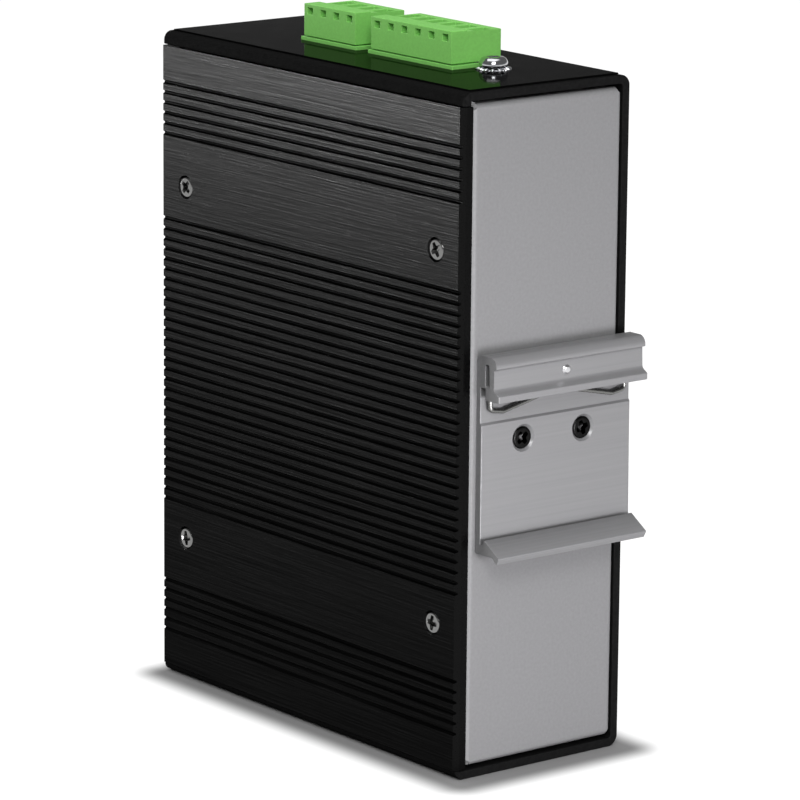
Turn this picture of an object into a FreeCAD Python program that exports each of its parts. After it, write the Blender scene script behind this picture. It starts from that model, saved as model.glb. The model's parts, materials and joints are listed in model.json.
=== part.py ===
import FreeCAD, Part
import math
import os
import re
import Sketcher

Vector = FreeCAD.Vector
Rotation = FreeCAD.Rotation

# Driving dimensions in millimetres. X runs across the housing, Y from the port side
# to the rail side, Z up. The origin is the middle of the face the housing stands on.
SIZES = [
    # Housing
    ("width", 49.0),
    ("depth", 115.4),
    ("height", 160.0),
    ("side_step", 0.4),
    ("cover_thick", 2.0),
    ("cover_bend", 2.2),
    ("wrap_bend", 2.7),
    ("wrap_inner_bend", 0.7),
    ("wrap_chamfer", 0.7),
    ("base_round", 1.85),
    ("plate_thick", 3.0),
    ("plate_gap", 0.25),
    ("plate_low", 2.15),
    ("plate_drop", 3.4),
    ("plate_chamfer", 1.05),
    ("front_chamfer", 0.15),
    ("groove_pitch", 2.5),
    ("groove_width", 1.05),
    ("groove_floor", 0.35),
    ("groove_depth", 0.55),
    ("groove_offset", 62.1),
    ("side_screw_inset", 9.3),
    ("side_screw_span", 87.4),
    # Folded end pans
    ("pan_thick", 1.2),
    ("pan_bend", 1.6),
    ("pan_gap", 0.8),
    ("pan_flange", 16.0),
    ("pan_lip", 12.0),
    ("corner_notch", 2.4),
    ("relief_radius", 1.1),
    ("boss_radius", 4.0),
    ("cover_screw_x", 12.0),
    ("cover_screw_inset", 7.5),
    # Screws of the housing
    ("screw_radius", 1.45),
    ("screw_head", 2.8),
    ("screw_length", 7.0),
    ("hole_gap", 0.1),
    ("recess_width", 0.8),
    ("recess_depth", 1.0),
    # Plate on the top
    ("overlay_thick", 0.4),
    ("overlay_end", 1.0),
    ("ground_x", -1.75),
    ("ground_y", 36.2),
    ("ground_radius", 1.9),
    ("ground_head", 3.45),
    ("ground_head_height", 2.5),
    ("washer_radius", 4.2),
    ("washer_thick", 0.8),
    ("ground_nut_radius", 3.6),
    ("ground_nut_height", 4.0),
    ("ground_length", 6.5),
    # Rail clip
    ("clip_centre", -2.7),
    ("clip_width", 44.4),
    ("clip_back", 1.8),
    ("clip_root", 1.3),
    ("rail_height", 35.0),
    ("rail_low", 55.7),
    ("spring_room", 1.7),
    ("step_height", 28.3),
    ("slot_near", 3.0),
    ("hook_outer", 6.0),
    ("hook_bead", 6.9),
    ("hook_top", 7.5),
    ("bead_low", 5.0),
    ("lip_reach", 7.9),
    ("lip_thick", 1.6),
    ("lip_drop", 2.7),
    ("wall_slot", 1.4),
    ("wall_slot_high", 5.7),
    ("wall_slot_floor", 0.5),
    ("notch_depth", 1.3),
    ("ledge_base", 2.2),
    ("ledge_root", 3.4),
    ("ledge_reach", 8.55),
    ("ledge_fall", 3.3),
    ("ledge_thick", 1.75),
    ("clip_screw_centre", -1.8),
    ("clip_screw_gap", 17.8),
    ("clip_screw_z", 79.1),
    ("clip_screw_head", 2.85),
    ("clip_sink", 3.25),
    ("clip_nut_radius", 3.2),
    ("clip_nut_height", 3.0),
    ("pin_x", -1.95),
    ("pin_z", 94.7),
    ("pin_radius", 0.85),
    ("pin_head", 1.15),
    ("pin_crown", 0.5),
    ("wire_radius", 0.55),
    ("spring_low", 16.3),
    ("spring_knee", 3.4),
    ("spring_knee_rise", 2.4),
    ("spring_tip", 20.2),
    ("spring_sag", 5.7),
    # Pluggable terminals
    ("plug_pitch", 5.08),
    ("plug_ease", 0.4),
    ("plug_near", 6.5),
    ("plug_far", -8.2),
    ("plug_rise", 8.7),
    ("plug_step", 0.5),
    ("plug_band", 4.6),
    ("power_y", 15.95),
    ("io_y", -15.05),
    ("rim_height", 0.8),
    ("rim_gap", 0.25),
    ("shroud_ease", 0.3),
    ("shroud_wall", 1.2),
    ("shroud_floor", 1.8),
    ("insert_ease", 0.2),
    ("insert_depth", 9.0),
    ("cage_high", 6.0),
    ("cage_long", 5.3),
    ("cage_wide", 3.5),
    ("cage_sink", 2.3),
    ("cage_ease", 0.1),
    ("funnel_inset", 1.9),
    ("window_wide", 2.1),
    ("window_high", 1.6),
    ("window_drop", 0.9),
    ("window_deep", 1.6),
    ("clamp_radius", 1.75),
    ("clamp_bore", 1.95),
    ("clamp_rise", 3.6),
    ("post_width", 1.0),
    ("post_slot", 1.5),
    ("post_sink", 2.8),
    ("post_tail", 2.2),
    # Boards
    ("board_thick", 1.6),
    ("standoff_long", 5.9),
    ("board_front", 5.5),
    ("board_rear", 9.5),
    ("board_low", 8.0),
    ("board_drop", 18.0),
    ("standoff_y", 37.5),
    ("standoff_edge", 3.5),
    ("standoff_flat", 5.0),
    ("board_screw_head", 2.5),
    ("board_screw_high", 1.9),
    ("spacer_high", 9.6),
    ("io_board_half", 18.5),
    ("io_board_end", 45.0),
    ("spacer_x", -13.5),
    ("spacer_y", 39.5),
    ("link_out", 3.0),
    ("link_pitch", 2.54),
    ("link_wide", 5.0),
    ("link_high", 3.9),
    ("link_pin", 0.64),
    ("link_drop", 3.0),
    # Ports
    ("jack_pitch", 13.97),
    ("jack_high", 27.2),
    ("jack_deep", 26.5),
    ("jack_margin", 0.66),
    ("jack_skin", 0.35),
    ("port_ease", 0.3),
    ("port_wide", 11.9),
    ("port_high", 8.2),
    ("port_deep", 14.0),
    ("port_offset", 6.6),
    ("latch_wide", 6.2),
    ("latch_high", 1.7),
    ("contact_pitch", 1.02),
    ("contact_wide", 0.45),
    ("contact_long", 9.0),
    ("sfp_z", 30.0),
    ("sfp_pitch", 16.5),
    ("sfp_wide", 14.2),
    ("sfp_high", 9.8),
    ("sfp_deep", 48.0),
    ("sfp_wall", 0.4),
    ("sfp_socket_wide", 11.0),
    ("sfp_socket_high", 5.6),
    ("sfp_socket_deep", 9.0),
    ("lamp_pitch", 4.6),
    ("lamp_gap", 5.5),
    ("lamp_radius", 1.2),
    ("lamp_proud", 0.4),
    ("lamp_block_high", 10.5),
    ("lamp_block_deep", 5.0),
    ("led_size", 1.8),
    # Parts on the main board
    ("chip_y", -5.0),
    ("chip_side", 19.0),
    ("chip_high", 1.4),
    ("phy_side", 12.0),
    ("phy_high", 1.2),
    ("phy_gap", 24.0),
    ("spreader_side", 26.0),
    ("spreader_thick", 3.5),
    ("coil_box_y", -22.0),
    ("coil_box_deep", 12.0),
    ("coil_box_high", 6.0),
    ("coil_box_long", 12.6),
    ("capacitor_radius", 5.0),
    ("capacitor_high", 16.0),
    ("capacitor_y", 38.0),
    ("capacitor_drop", 14.0),
    ("capacitor_pitch", 13.0),
    ("transformer_y", 19.0),
    ("transformer_drop", 16.0),
    ("inductor_side", 10.0),
    ("inductor_high", 6.0),
    ("relay_y", 1.0),
    ("memory_y", 18.0),
    ("memory_drop", 5.0),
    ("crystal_y", 18.0),
    ("crystal_z", 52.0),
    ("fuse_radius", 2.6),
    ("fuse_long", 20.0),
    ("choke_radius", 4.5),
    ("choke_high", 6.0),
    ("choke_flange", 1.0),
    ("choke_y", -24.0),
]

OUTER_GROOVES = 6
MIDDLE_GROOVES = 29
POWER_POLES = 6
IO_POLES = 4
LINK_PINS = 10
JACK_ROWS = 4
JACK_CONTACTS = 8
LAMP_ROWS = 5
CAPACITORS = 3

doc = FreeCAD.newDocument("rail_switch")
sheet = doc.addObject("Spreadsheet::Sheet", "Sizes")
for row, (alias, number) in enumerate(SIZES, start=1):
    sheet.set(f"A{row}", alias)
    sheet.set(f"B{row}", str(number))
    sheet.setAlias(f"B{row}", alias)
doc.recompute()

ALIASES = "|".join(sorted((alias for alias, number in SIZES), key=len, reverse=True))
ALIAS = re.compile(rf"\b({ALIASES})\b")
PARTS = []


def bound(expression):
    """The expression with each size's alias pointed at the sheet."""
    return ALIAS.sub(r"Sizes.\1", str(expression))


def number(expression):
    """The value of an expression now, in millimetres."""
    return float(sheet.evalExpression(bound(expression)))


def bind(thing, name, expression):
    thing.setExpression(name, bound(expression))


def place(thing, x, y, z):
    for axis, expression in zip("xyz", (x, y, z)):
        bind(thing, f"Placement.Base.{axis}", expression)
    return thing


def part(thing, label):
    """Marks a finished piece of the object."""
    thing.Label = label
    PARTS.append(thing)
    return thing


def box(x, y, z):
    """A block between two expressions on each axis."""
    block = doc.addObject("Part::Box", "Block")
    for name, (low, high) in zip(("Length", "Width", "Height"), (x, y, z)):
        bind(block, name, f"({high}) - ({low})")
    return place(block, x[0], y[0], z[0])


AXES = {
    "+X": Rotation(Vector(0, 0, 1), Vector(1, 0, 0)),
    "-X": Rotation(Vector(0, 0, 1), Vector(-1, 0, 0)),
    "+Y": Rotation(Vector(0, 0, 1), Vector(0, 1, 0)),
    "-Y": Rotation(Vector(0, 0, 1), Vector(0, -1, 0)),
    "+Z": Rotation(),
    "-Z": Rotation(Vector(1, 0, 0), 180),
}


def turned(thing, axis):
    thing.Placement = FreeCAD.Placement(Vector(0, 0, 0), AXES[axis])
    return thing


def rod(axis, x, y, z, radius, length):
    """A cylinder that starts at a point and runs along an axis."""
    cylinder = turned(doc.addObject("Part::Cylinder", "Rod"), axis)
    bind(cylinder, "Radius", radius)
    bind(cylinder, "Height", length)
    return place(cylinder, x, y, z)


def cone(axis, x, y, z, first, last, length):
    taper = turned(doc.addObject("Part::Cone", "Cone"), axis)
    bind(taper, "Radius1", first)
    bind(taper, "Radius2", last)
    bind(taper, "Height", length)
    return place(taper, x, y, z)


def hexagon(axis, x, y, z, flats, length):
    prism = turned(doc.addObject("Part::Prism", "Hexagon"), axis)
    prism.Polygon = 6
    bind(prism, "Circumradius", f"({flats}) / sqrt(3)")
    bind(prism, "Height", length)
    return place(prism, x, y, z)


def fuse(*shapes):
    joined = doc.addObject("Part::MultiFuse", "Fusion")
    joined.Shapes = list(shapes)
    joined.Refine = True
    return joined


def cut(base, *tools):
    result = doc.addObject("Part::Cut", "Cut")
    result.Base = base
    result.Tool = tools[0] if len(tools) == 1 else fuse(*tools)
    return result


def group(shapes):
    """Separate solids kept side by side."""
    together = doc.addObject("Part::Compound", "Group")
    together.Links = list(shapes)
    return together


def origin_part(body, role):
    return next(item for item in body.Origin.OriginFeatures if item.Role == role)


def outline(body, plane, offset, points):
    """A closed sketch whose corners are all bound to the sheet."""
    sketch = body.newObject("Sketcher::SketchObject", "Outline")
    sketch.AttachmentSupport = [(origin_part(body, plane), "")]
    sketch.MapMode = "FlatFace"
    bind(sketch, "AttachmentOffset.Base.z", offset)
    draw(sketch, points)
    return sketch


def draw(sketch, points):
    first = sketch.GeometryCount
    places = [Vector(number(x), number(y), 0) for x, y in points]
    count = len(points)
    for index in range(count):
        sketch.addGeometry(Part.LineSegment(places[index], places[(index + 1) % count]), False)
    for index in range(count):
        following = first + (index + 1) % count
        sketch.addConstraint(Sketcher.Constraint("Coincident", first + index, 2, following, 1))
    for index, corner in enumerate(points):
        for kind, letter, expression in zip(("DistanceX", "DistanceY"), "xy", corner):
            start = number(expression)
            line = first + index
            made = sketch.addConstraint(Sketcher.Constraint(kind, -1, 1, line, 1, start))
            name = f"{letter}{line}"
            sketch.renameConstraint(made, name)
            bind(sketch, f"Constraints.{name}", expression)


def pad(body, sketch, length, both_ways=False):
    feature = body.newObject("PartDesign::Pad", "Pad")
    feature.Profile = sketch
    bind(feature, "Length", length)
    feature.SideType = "Symmetric" if both_ways else "One side"
    return feature


def through_pocket(body, sketch):
    """A pocket that runs out of the body on both sides of its sketch."""
    feature = body.newObject("PartDesign::Pocket", "Pocket")
    feature.Profile = sketch
    feature.Type = "ThroughAll"
    feature.SideType = "Symmetric"
    return feature


def repeat(body, feature, axis, spacing, count):
    pattern = body.newObject("PartDesign::LinearPattern", "Pattern")
    pattern.Originals = [feature]
    pattern.Direction = (origin_part(body, axis), [""])
    pattern.Mode = "Spacing"
    bind(pattern, "Offset", spacing)
    pattern.Occurrences = round(count)
    body.Tip = pattern
    return pattern


def edges_at(feature, *middles):
    """Names of the edges whose middle lies at each point."""
    names = []
    for middle in middles:
        target = Vector(*(number(expression) for expression in middle))
        gaps = []
        for index, edge in enumerate(feature.Shape.Edges, start=1):
            half = (edge.FirstParameter + edge.LastParameter) / 2
            gaps.append((edge.valueAt(half).distanceToPoint(target), index))
        gap, index = min(gaps)
        if gap > 0.01:
            raise ValueError(f"no edge at {middle}: nearest is {gap:.3f} mm away")
        names.append(f"Edge{index}")
    return names


def round_edges(body, feature, radius, *middles):
    doc.recompute()
    fillet = body.newObject("PartDesign::Fillet", "Fillet")
    fillet.Base = (feature, edges_at(feature, *middles))
    bind(fillet, "Radius", radius)
    body.Tip = fillet
    return fillet


def new_body(name):
    body = doc.addObject("PartDesign::Body", name)
    doc.recompute()
    return body


def cross(deep, wide, long):
    """The cross recess of a screw, cut down from its head's top at z = 0."""
    bars = []
    for x, y in ((long, wide), (wide, long)):
        bars.append(box((f"-({x}) / 2", f"({x}) / 2"), (f"-({y}) / 2", f"({y}) / 2"), (f"-({deep})", "0.2")))
    return bars


def sunk_screw(axis, x, y, z, head, shank, length):
    """A countersunk screw, with the top of its head at a point and its shank going in."""
    rise = f"({head}) - ({shank})"
    solid = fuse(
        cone("+Z", "0", "0", f"-({rise})", shank, head, rise),
        rod("-Z", "0", "0", "0", shank, length),
    )
    screw = turned(cut(solid, *cross("recess_depth", "recess_width", f"({head}) * 1.15")), axis)
    return place(screw, x, y, z)


def sunk_hole(axis, x, y, z, head, shank, length):
    """The hole for such a screw."""
    rise = f"({head}) - ({shank})"
    tool = turned(
        fuse(
            cone("+Z", "0", "0", f"-({rise})", shank, head, rise),
            rod("-Z", "0", "0", "0", shank, length),
        ),
        axis,
    )
    return place(tool, x, y, z)


def pan_head_screw(axis, x, y, z, head, high, shank, length):
    """A round headed screw that bears on a point and goes in."""
    rise = f"(0.55 * ({high}))"
    ball_radius = f"((({head}) ^ 2 + {rise} ^ 2) / (2 * {rise}))"
    ball = doc.addObject("Part::Sphere", "Ball")
    bind(ball, "Radius", ball_radius)
    place(ball, "0", "0", f"({high}) - {ball_radius}")
    dome = doc.addObject("Part::MultiCommon", "Dome")
    dome.Shapes = [rod("+Z", "0", "0", "0", head, high), ball]
    solid = fuse(dome, rod("-Z", "0", "0", "0", shank, length))
    recess = group(cross("recess_depth", "recess_width", f"({head}) * 1.2"))
    place(recess, "0", "0", high)
    screw = turned(cut(solid, recess), axis)
    return place(screw, x, y, z)


# Named places that several pieces share.
FRONT = "-depth / 2"
REAR = "depth / 2"
COVER_HALF = "(width / 2 - side_step)"
NEAR_WALL = "(width / 2 - plate_thick)"
FAR_WALL = "(-width / 2 + cover_thick)"
SIDE_WALL = {1: NEAR_WALL, -1: FAR_WALL}
PLATE_HIGH = "(height - plate_drop)"
PLATE_MIDDLE = "(plate_low + height - plate_drop) / 2"
PAN_MIDDLE = f"({NEAR_WALL} + {FAR_WALL}) / 2"
PAN_LOW = "(cover_thick + pan_gap)"
PAN_HIGH = "(height - cover_thick - pan_gap)"
OVERLAY_TOP = "(height + overlay_thick)"
IO_BOARD_TOP = "(height - cover_thick - spacer_high)"
IO_BOARD_LOW = "(height - cover_thick - spacer_high - board_thick)"
BOARD_HIGH = "(height - board_drop)"
JACK_Z = "(height * 0.525)"
LAMP_Z = "(height * 0.80625)"
TRANSFORMER_Z = "(height - board_drop - transformer_drop)"
SCREW_HOLE = "screw_radius + hole_gap / 2"
SIDE_SCREW_PLACES = [
    (f"{along} * (depth / 2 - side_screw_inset)", f"{PLATE_MIDDLE} + {up} * side_screw_span / 2")
    for along in (-1, 1)
    for up in (-1, 1)
]
COVER_SCREW_PLACES = [
    (f"{across} * cover_screw_x", f"{along} * (depth / 2 - cover_screw_inset)")
    for across in (-1, 1)
    for along in (-1, 1)
]


# Ribbed side plate
def screw_heads(way, face, sink):
    """The four countersunk screws of one side."""
    return [
        sunk_screw(way, f"{face} - {sink} * hole_gap", y, z, "screw_head", "screw_radius", "screw_length")
        for y, z in SIDE_SCREW_PLACES
    ]


def screw_sinks(way, face, deep):
    """Their holes in the wall they go through."""
    return [
        sunk_hole(way, face, y, z, "screw_head + hole_gap", SCREW_HOLE, f"{deep} + 1")
        for y, z in SIDE_SCREW_PLACES
    ]


def rib_plate():
    """The heat sink plate: a chamfered slab with three fields of grooves along Y."""
    body = new_body("RibPlate")
    outer = "width / 2"
    slab = outline(body, "XY_Plane", "plate_low", [
        (NEAR_WALL, FRONT),
        (NEAR_WALL, REAR),
        (f"{outer} - plate_chamfer", REAR),
        (outer, f"{REAR} - plate_chamfer"),
        (outer, f"{FRONT} + front_chamfer"),
        (f"{outer} - front_chamfer", FRONT),
    ])
    pad(body, slab, f"{PLATE_HIGH} - plate_low")
    fields = (
        (OUTER_GROOVES, "-groove_offset"),
        (MIDDLE_GROOVES, "0"),
        (OUTER_GROOVES, "groove_offset"),
    )
    for count, offset in fields:
        lowest = f"{PLATE_MIDDLE} + {offset} - groove_pitch * {(count - 1) / 2}"
        groove = outline(body, "XZ_Plane", "0", [
            (f"{outer} - groove_depth", f"{lowest} - groove_floor / 2"),
            (f"{outer} + 0.01", f"{lowest} - groove_width / 2"),
            (f"{outer} + 0.01", f"{lowest} + groove_width / 2"),
            (f"{outer} - groove_depth", f"{lowest} + groove_floor / 2"),
        ])
        pocket = through_pocket(body, groove)
        repeat(body, pocket, "Z_Axis", "groove_pitch", count)
    part(cut(body, *screw_sinks("+X", outer, "plate_thick")), "rib_plate")
    part(group(screw_heads("+X", outer, 1)), "rib_plate_screws")


rib_plate()


# Folded end pans
def pan(label, end, openings):
    """A tray folded from one sheet, its face at one end of the housing."""
    body = new_body("Pan")
    face = f"{end} * depth / 2"
    flat = outline(body, "XZ_Plane", f"-({face})", [
        (FAR_WALL, PAN_LOW),
        (NEAR_WALL, PAN_LOW),
        (NEAR_WALL, PAN_HIGH),
        (FAR_WALL, PAN_HIGH),
    ])
    block = pad(body, flat, "pan_flange")
    block.Reversed = end < 0
    bent = round_edges(
        body, block, "pan_bend",
        (NEAR_WALL, face, f"({PAN_LOW} + {PAN_HIGH}) / 2"),
        (FAR_WALL, face, f"({PAN_LOW} + {PAN_HIGH}) / 2"),
        (PAN_MIDDLE, face, PAN_LOW),
        (PAN_MIDDLE, face, PAN_HIGH),
    )
    doc.recompute()
    inward = f"{face} - {end} * pan_flange"
    open_side = next(
        index for index, side in enumerate(bent.Shape.Faces, start=1)
        if side.BoundBox.YLength < 0.01 and abs(side.CenterOfMass.y - number(inward)) < 0.01
    )
    sheet_metal = body.newObject("PartDesign::Thickness", "Sheet")
    sheet_metal.Base = (bent, [f"Face{open_side}"])
    bind(sheet_metal, "Value", "pan_thick")
    sheet_metal.Reversed = True
    body.Tip = sheet_metal
    ends = sorted((f"{face} - {end} * (pan_bend + 0.1)", f"{inward} - {end}"), key=number)
    shallow = sorted((f"{face} - {end} * pan_lip", f"{inward} - {end}"), key=number)
    tools = []
    for across in (-1, 1):
        for up, level in ((-1, PAN_LOW), (1, PAN_HIGH)):
            wall = SIDE_WALL[across]
            x = sorted((f"{wall} - {across} * corner_notch", f"{wall} + {across}"), key=number)
            z = sorted((f"{level} - {up} * corner_notch", f"{level} + {up}"), key=number)
            tools.append(box(x, ends, z))
            tools.append(rod(
                "+Y", f"{wall} - {across} * 0.3", f"{face} - pan_bend * 2", f"{level} - {up} * 0.3",
                "relief_radius", "pan_bend * 4",
            ))
    for up, level in ((-1, PAN_LOW), (1, PAN_HIGH)):
        z = sorted((f"{level} - {up} * (pan_thick + 0.1)", f"{level} + {up}"), key=number)
        tools.append(box((f"{FAR_WALL} + corner_notch - 0.5", f"{NEAR_WALL} - corner_notch + 0.5"), shallow, z))
    for y, z in SIDE_SCREW_PLACES:
        if y.startswith(str(end)):
            for across, way in ((1, "+X"), (-1, "-X")):
                tools.append(rod(way, f"{SIDE_WALL[across]} - {across} * 3", y, z, SCREW_HOLE, "6"))
    tray = cut(body, *tools, *openings)
    bosses = []
    bores = []
    for x, y in COVER_SCREW_PLACES:
        if y.startswith(str(end)):
            bosses.append(rod("+Z", x, y, f"{PAN_HIGH} - pan_thick / 2", "boss_radius", "pan_gap + pan_thick / 2"))
            bosses.append(rod("-Z", x, y, f"{PAN_LOW} + pan_thick / 2", "boss_radius", "pan_gap + pan_thick / 2"))
            for level in (PAN_HIGH, PAN_LOW):
                bores.append(rod("+Z", x, y, f"{level} - 4", SCREW_HOLE, "8"))
    part(cut(fuse(tray, *bosses), *bores), label)


CLIP_SCREWS = [f"clip_screw_centre + {side} * clip_screw_gap / 2" for side in (-1, 1)]
pan("rear_panel", 1, [
    rod("+Y", x, f"{REAR} - 4", "clip_screw_z", SCREW_HOLE, "8") for x in CLIP_SCREWS
])

BOARD_BACK = f"({NEAR_WALL} - standoff_long)"
BOARD_FACE = f"({BOARD_BACK} - board_thick)"
LINK_X = f"({BOARD_FACE} - link_out)"
JACK_LONG = f"({JACK_ROWS} * jack_pitch + 2 * jack_margin)"
JACK_LOW = f"({JACK_Z} - {JACK_LONG} / 2)"
JACK_HIGH = f"({JACK_Z} + {JACK_LONG} / 2)"
SFP_PLACES = [f"sfp_z + {side} * sfp_pitch / 2" for side in (-1, 1)]
LAMP_COLUMNS = [f"{BOARD_FACE} - 3 - {column} * lamp_gap" for column in (0, 1)]
LAMP_LEVELS = [f"{LAMP_Z} + {row - (LAMP_ROWS - 1) / 2} * lamp_pitch" for row in range(LAMP_ROWS)]
FRONT_CUT = (f"{FRONT} - 1", f"{FRONT} + pan_thick + 1")


def front_openings():
    """The module, cage and lamp openings in the port face."""
    jack = box(
        (f"{BOARD_FACE} - jack_high - port_ease", f"{BOARD_FACE} + port_ease"),
        FRONT_CUT,
        (f"{JACK_LOW} - port_ease", f"{JACK_HIGH} + port_ease"),
    )
    cages = [
        box(
            (f"{BOARD_FACE} - sfp_high - port_ease", f"{BOARD_FACE} + port_ease"),
            FRONT_CUT,
            (f"{z} - sfp_wide / 2 - port_ease", f"{z} + sfp_wide / 2 + port_ease"),
        )
        for z in SFP_PLACES
    ]
    lamps = [
        rod("+Y", x, f"{FRONT} - 1", z, "lamp_radius + hole_gap", "pan_thick + 2")
        for x in LAMP_COLUMNS
        for z in LAMP_LEVELS
    ]
    return [jack, *cages, *lamps]


pan("front_panel", -1, front_openings())

# Folded wrap
PLUG_MIDDLE = "(plug_near + plug_far) / 2"
PLUGS = {
    "power": (POWER_POLES, "power_y"),
    "io": (IO_POLES, "io_y"),
}


def plug_half(poles):
    return f"(({poles} * plug_pitch - plug_ease) / 2)"


def shroud_span(poles, middle, extra="0"):
    """The header's outside across X and Y."""
    reach = f"(shroud_ease + {extra})"
    return (
        (f"plug_far - {reach}", f"plug_near + {reach}"),
        (f"{middle} - {plug_half(poles)} - 0.5 - {reach}", f"{middle} + {plug_half(poles)} + 0.5 + {reach}"),
    )


def header_cuts(level, thick):
    return [
        box(*shroud_span(poles, middle, "hole_gap"), (f"{level} - 1", f"{level} + {thick} + 1"))
        for poles, middle in PLUGS.values()
    ]


def housing_wrap():
    """Top, bottom and plain side folded from one sheet, its near edges bent and bevelled."""
    body = new_body("Wrap")
    lip = f"{PLATE_HIGH} + plate_gap"
    wall = f"{COVER_HALF} - cover_thick"
    far = "-width / 2"
    section = outline(body, "XZ_Plane", "0", [
        (COVER_HALF, lip),
        (COVER_HALF, "height"),
        (far, "height"),
        (far, "0"),
        (COVER_HALF, "0"),
        (COVER_HALF, "cover_thick"),
        (FAR_WALL, "cover_thick"),
        (FAR_WALL, "height - cover_thick"),
        (wall, "height - cover_thick"),
        (wall, lip),
    ])
    fold = pad(body, section, "depth", both_ways=True)
    fold = round_edges(body, fold, "wrap_bend", (far, "0", "height"), (far, "0", "0"))
    fold = round_edges(
        body, fold, "wrap_inner_bend", (FAR_WALL, "0", "cover_thick"), (FAR_WALL, "0", "height - cover_thick")
    )
    fold = round_edges(body, fold, "cover_bend", (COVER_HALF, "0", "height"))
    fold = round_edges(body, fold, "base_round", (COVER_HALF, "0", "0"))
    bevel = outline(body, "XY_Plane", "0", [
        (f"{COVER_HALF} - wrap_chamfer", f"{REAR} + 0.01"),
        (f"{COVER_HALF} + 0.01", f"{REAR} - wrap_chamfer"),
        (f"{COVER_HALF} + 0.01", f"{REAR} + 0.01"),
    ])
    through_pocket(body, bevel)
    holes = screw_sinks("-X", far, "cover_thick")
    for way, face in (("+Z", "height"), ("-Z", "0")):
        holes += [
            sunk_hole(way, x, y, face, "screw_head + hole_gap", SCREW_HOLE, "cover_thick + 1")
            for x, y in COVER_SCREW_PLACES
        ]
    holes.append(rod(
        "+Z", "ground_x", "ground_y", "height - cover_thick - 1", "ground_radius + hole_gap", "cover_thick + 2"
    ))
    part(cut(body, *holes, *header_cuts("height - cover_thick", "cover_thick")), "housing_wrap")
    part(group(screw_heads("-X", far, -1)), "wrap_side_screws")
    rows = (("wrap_top_screws", "+Z", "height - hole_gap"), ("wrap_bottom_screws", "-Z", "hole_gap"))
    for label, way, level in rows:
        screws = [
            sunk_screw(way, x, y, level, "screw_head", "screw_radius", "screw_length")
            for x, y in COVER_SCREW_PLACES
        ]
        part(group(screws), label)


housing_wrap()

overlay_sheet = box(
    (f"-({COVER_HALF} - cover_bend)", f"{COVER_HALF} - cover_bend"),
    (f"{FRONT} + overlay_end", f"{REAR} - overlay_end"),
    ("height", OVERLAY_TOP),
)
overlay_hole = rod("+Z", "ground_x", "ground_y", "height - 1", "ground_radius + hole_gap", "overlay_thick + 2")
part(cut(overlay_sheet, overlay_hole, *header_cuts("height", "overlay_thick")), "top_overlay")


# Ground screw
def ground_parts():
    star = []
    for turn in range(4):
        triangle = doc.addObject("Part::Prism", "Teeth")
        triangle.Polygon = 3
        bind(triangle, "Circumradius", "washer_radius")
        bind(triangle, "Height", "washer_thick")
        triangle.Placement.Rotation = Rotation(Vector(0, 0, 1), 30 * turn)
        star.append(triangle)
    ring = fuse(rod("+Z", "0", "0", "0", "washer_radius - 0.9", "washer_thick"), *star)
    bore = rod("+Z", "0", "0", "-1", "ground_radius + hole_gap", "washer_thick + 2")
    washer = place(cut(ring, bore), "ground_x", "ground_y", OVERLAY_TOP)
    part(washer, "ground_washer")
    seat = f"{OVERLAY_TOP} + washer_thick"
    screw = pan_head_screw(
        "+Z", "ground_x", "ground_y", seat, "ground_head", "ground_head_height",
        "ground_radius", f"{seat} - height + ground_length",
    )
    part(screw, "ground_screw")
    blank = rod("-Z", "ground_x", "ground_y", "height - cover_thick", "ground_nut_radius", "ground_nut_height")
    bore = rod(
        "-Z", "ground_x", "ground_y", "height - cover_thick + 1", "ground_radius + hole_gap / 2", "ground_nut_height + 2"
    )
    part(cut(blank, bore), "ground_nut")


ground_parts()

# Rail clip
ROOF = "(rail_low + rail_height + spring_room)"
HOOK_TOP = f"({ROOF} + hook_top)"
CLIP_BASE = "(rail_low - ledge_base)"
LEDGE_TOP = "(rail_low + notch_depth)"
LIP_LOW = f"({ROOF} - lip_drop)"
CLIP_LOW_X = "(clip_centre - clip_width / 2)"


def at_rear(distance):
    return f"({REAR} + {distance})"


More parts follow.
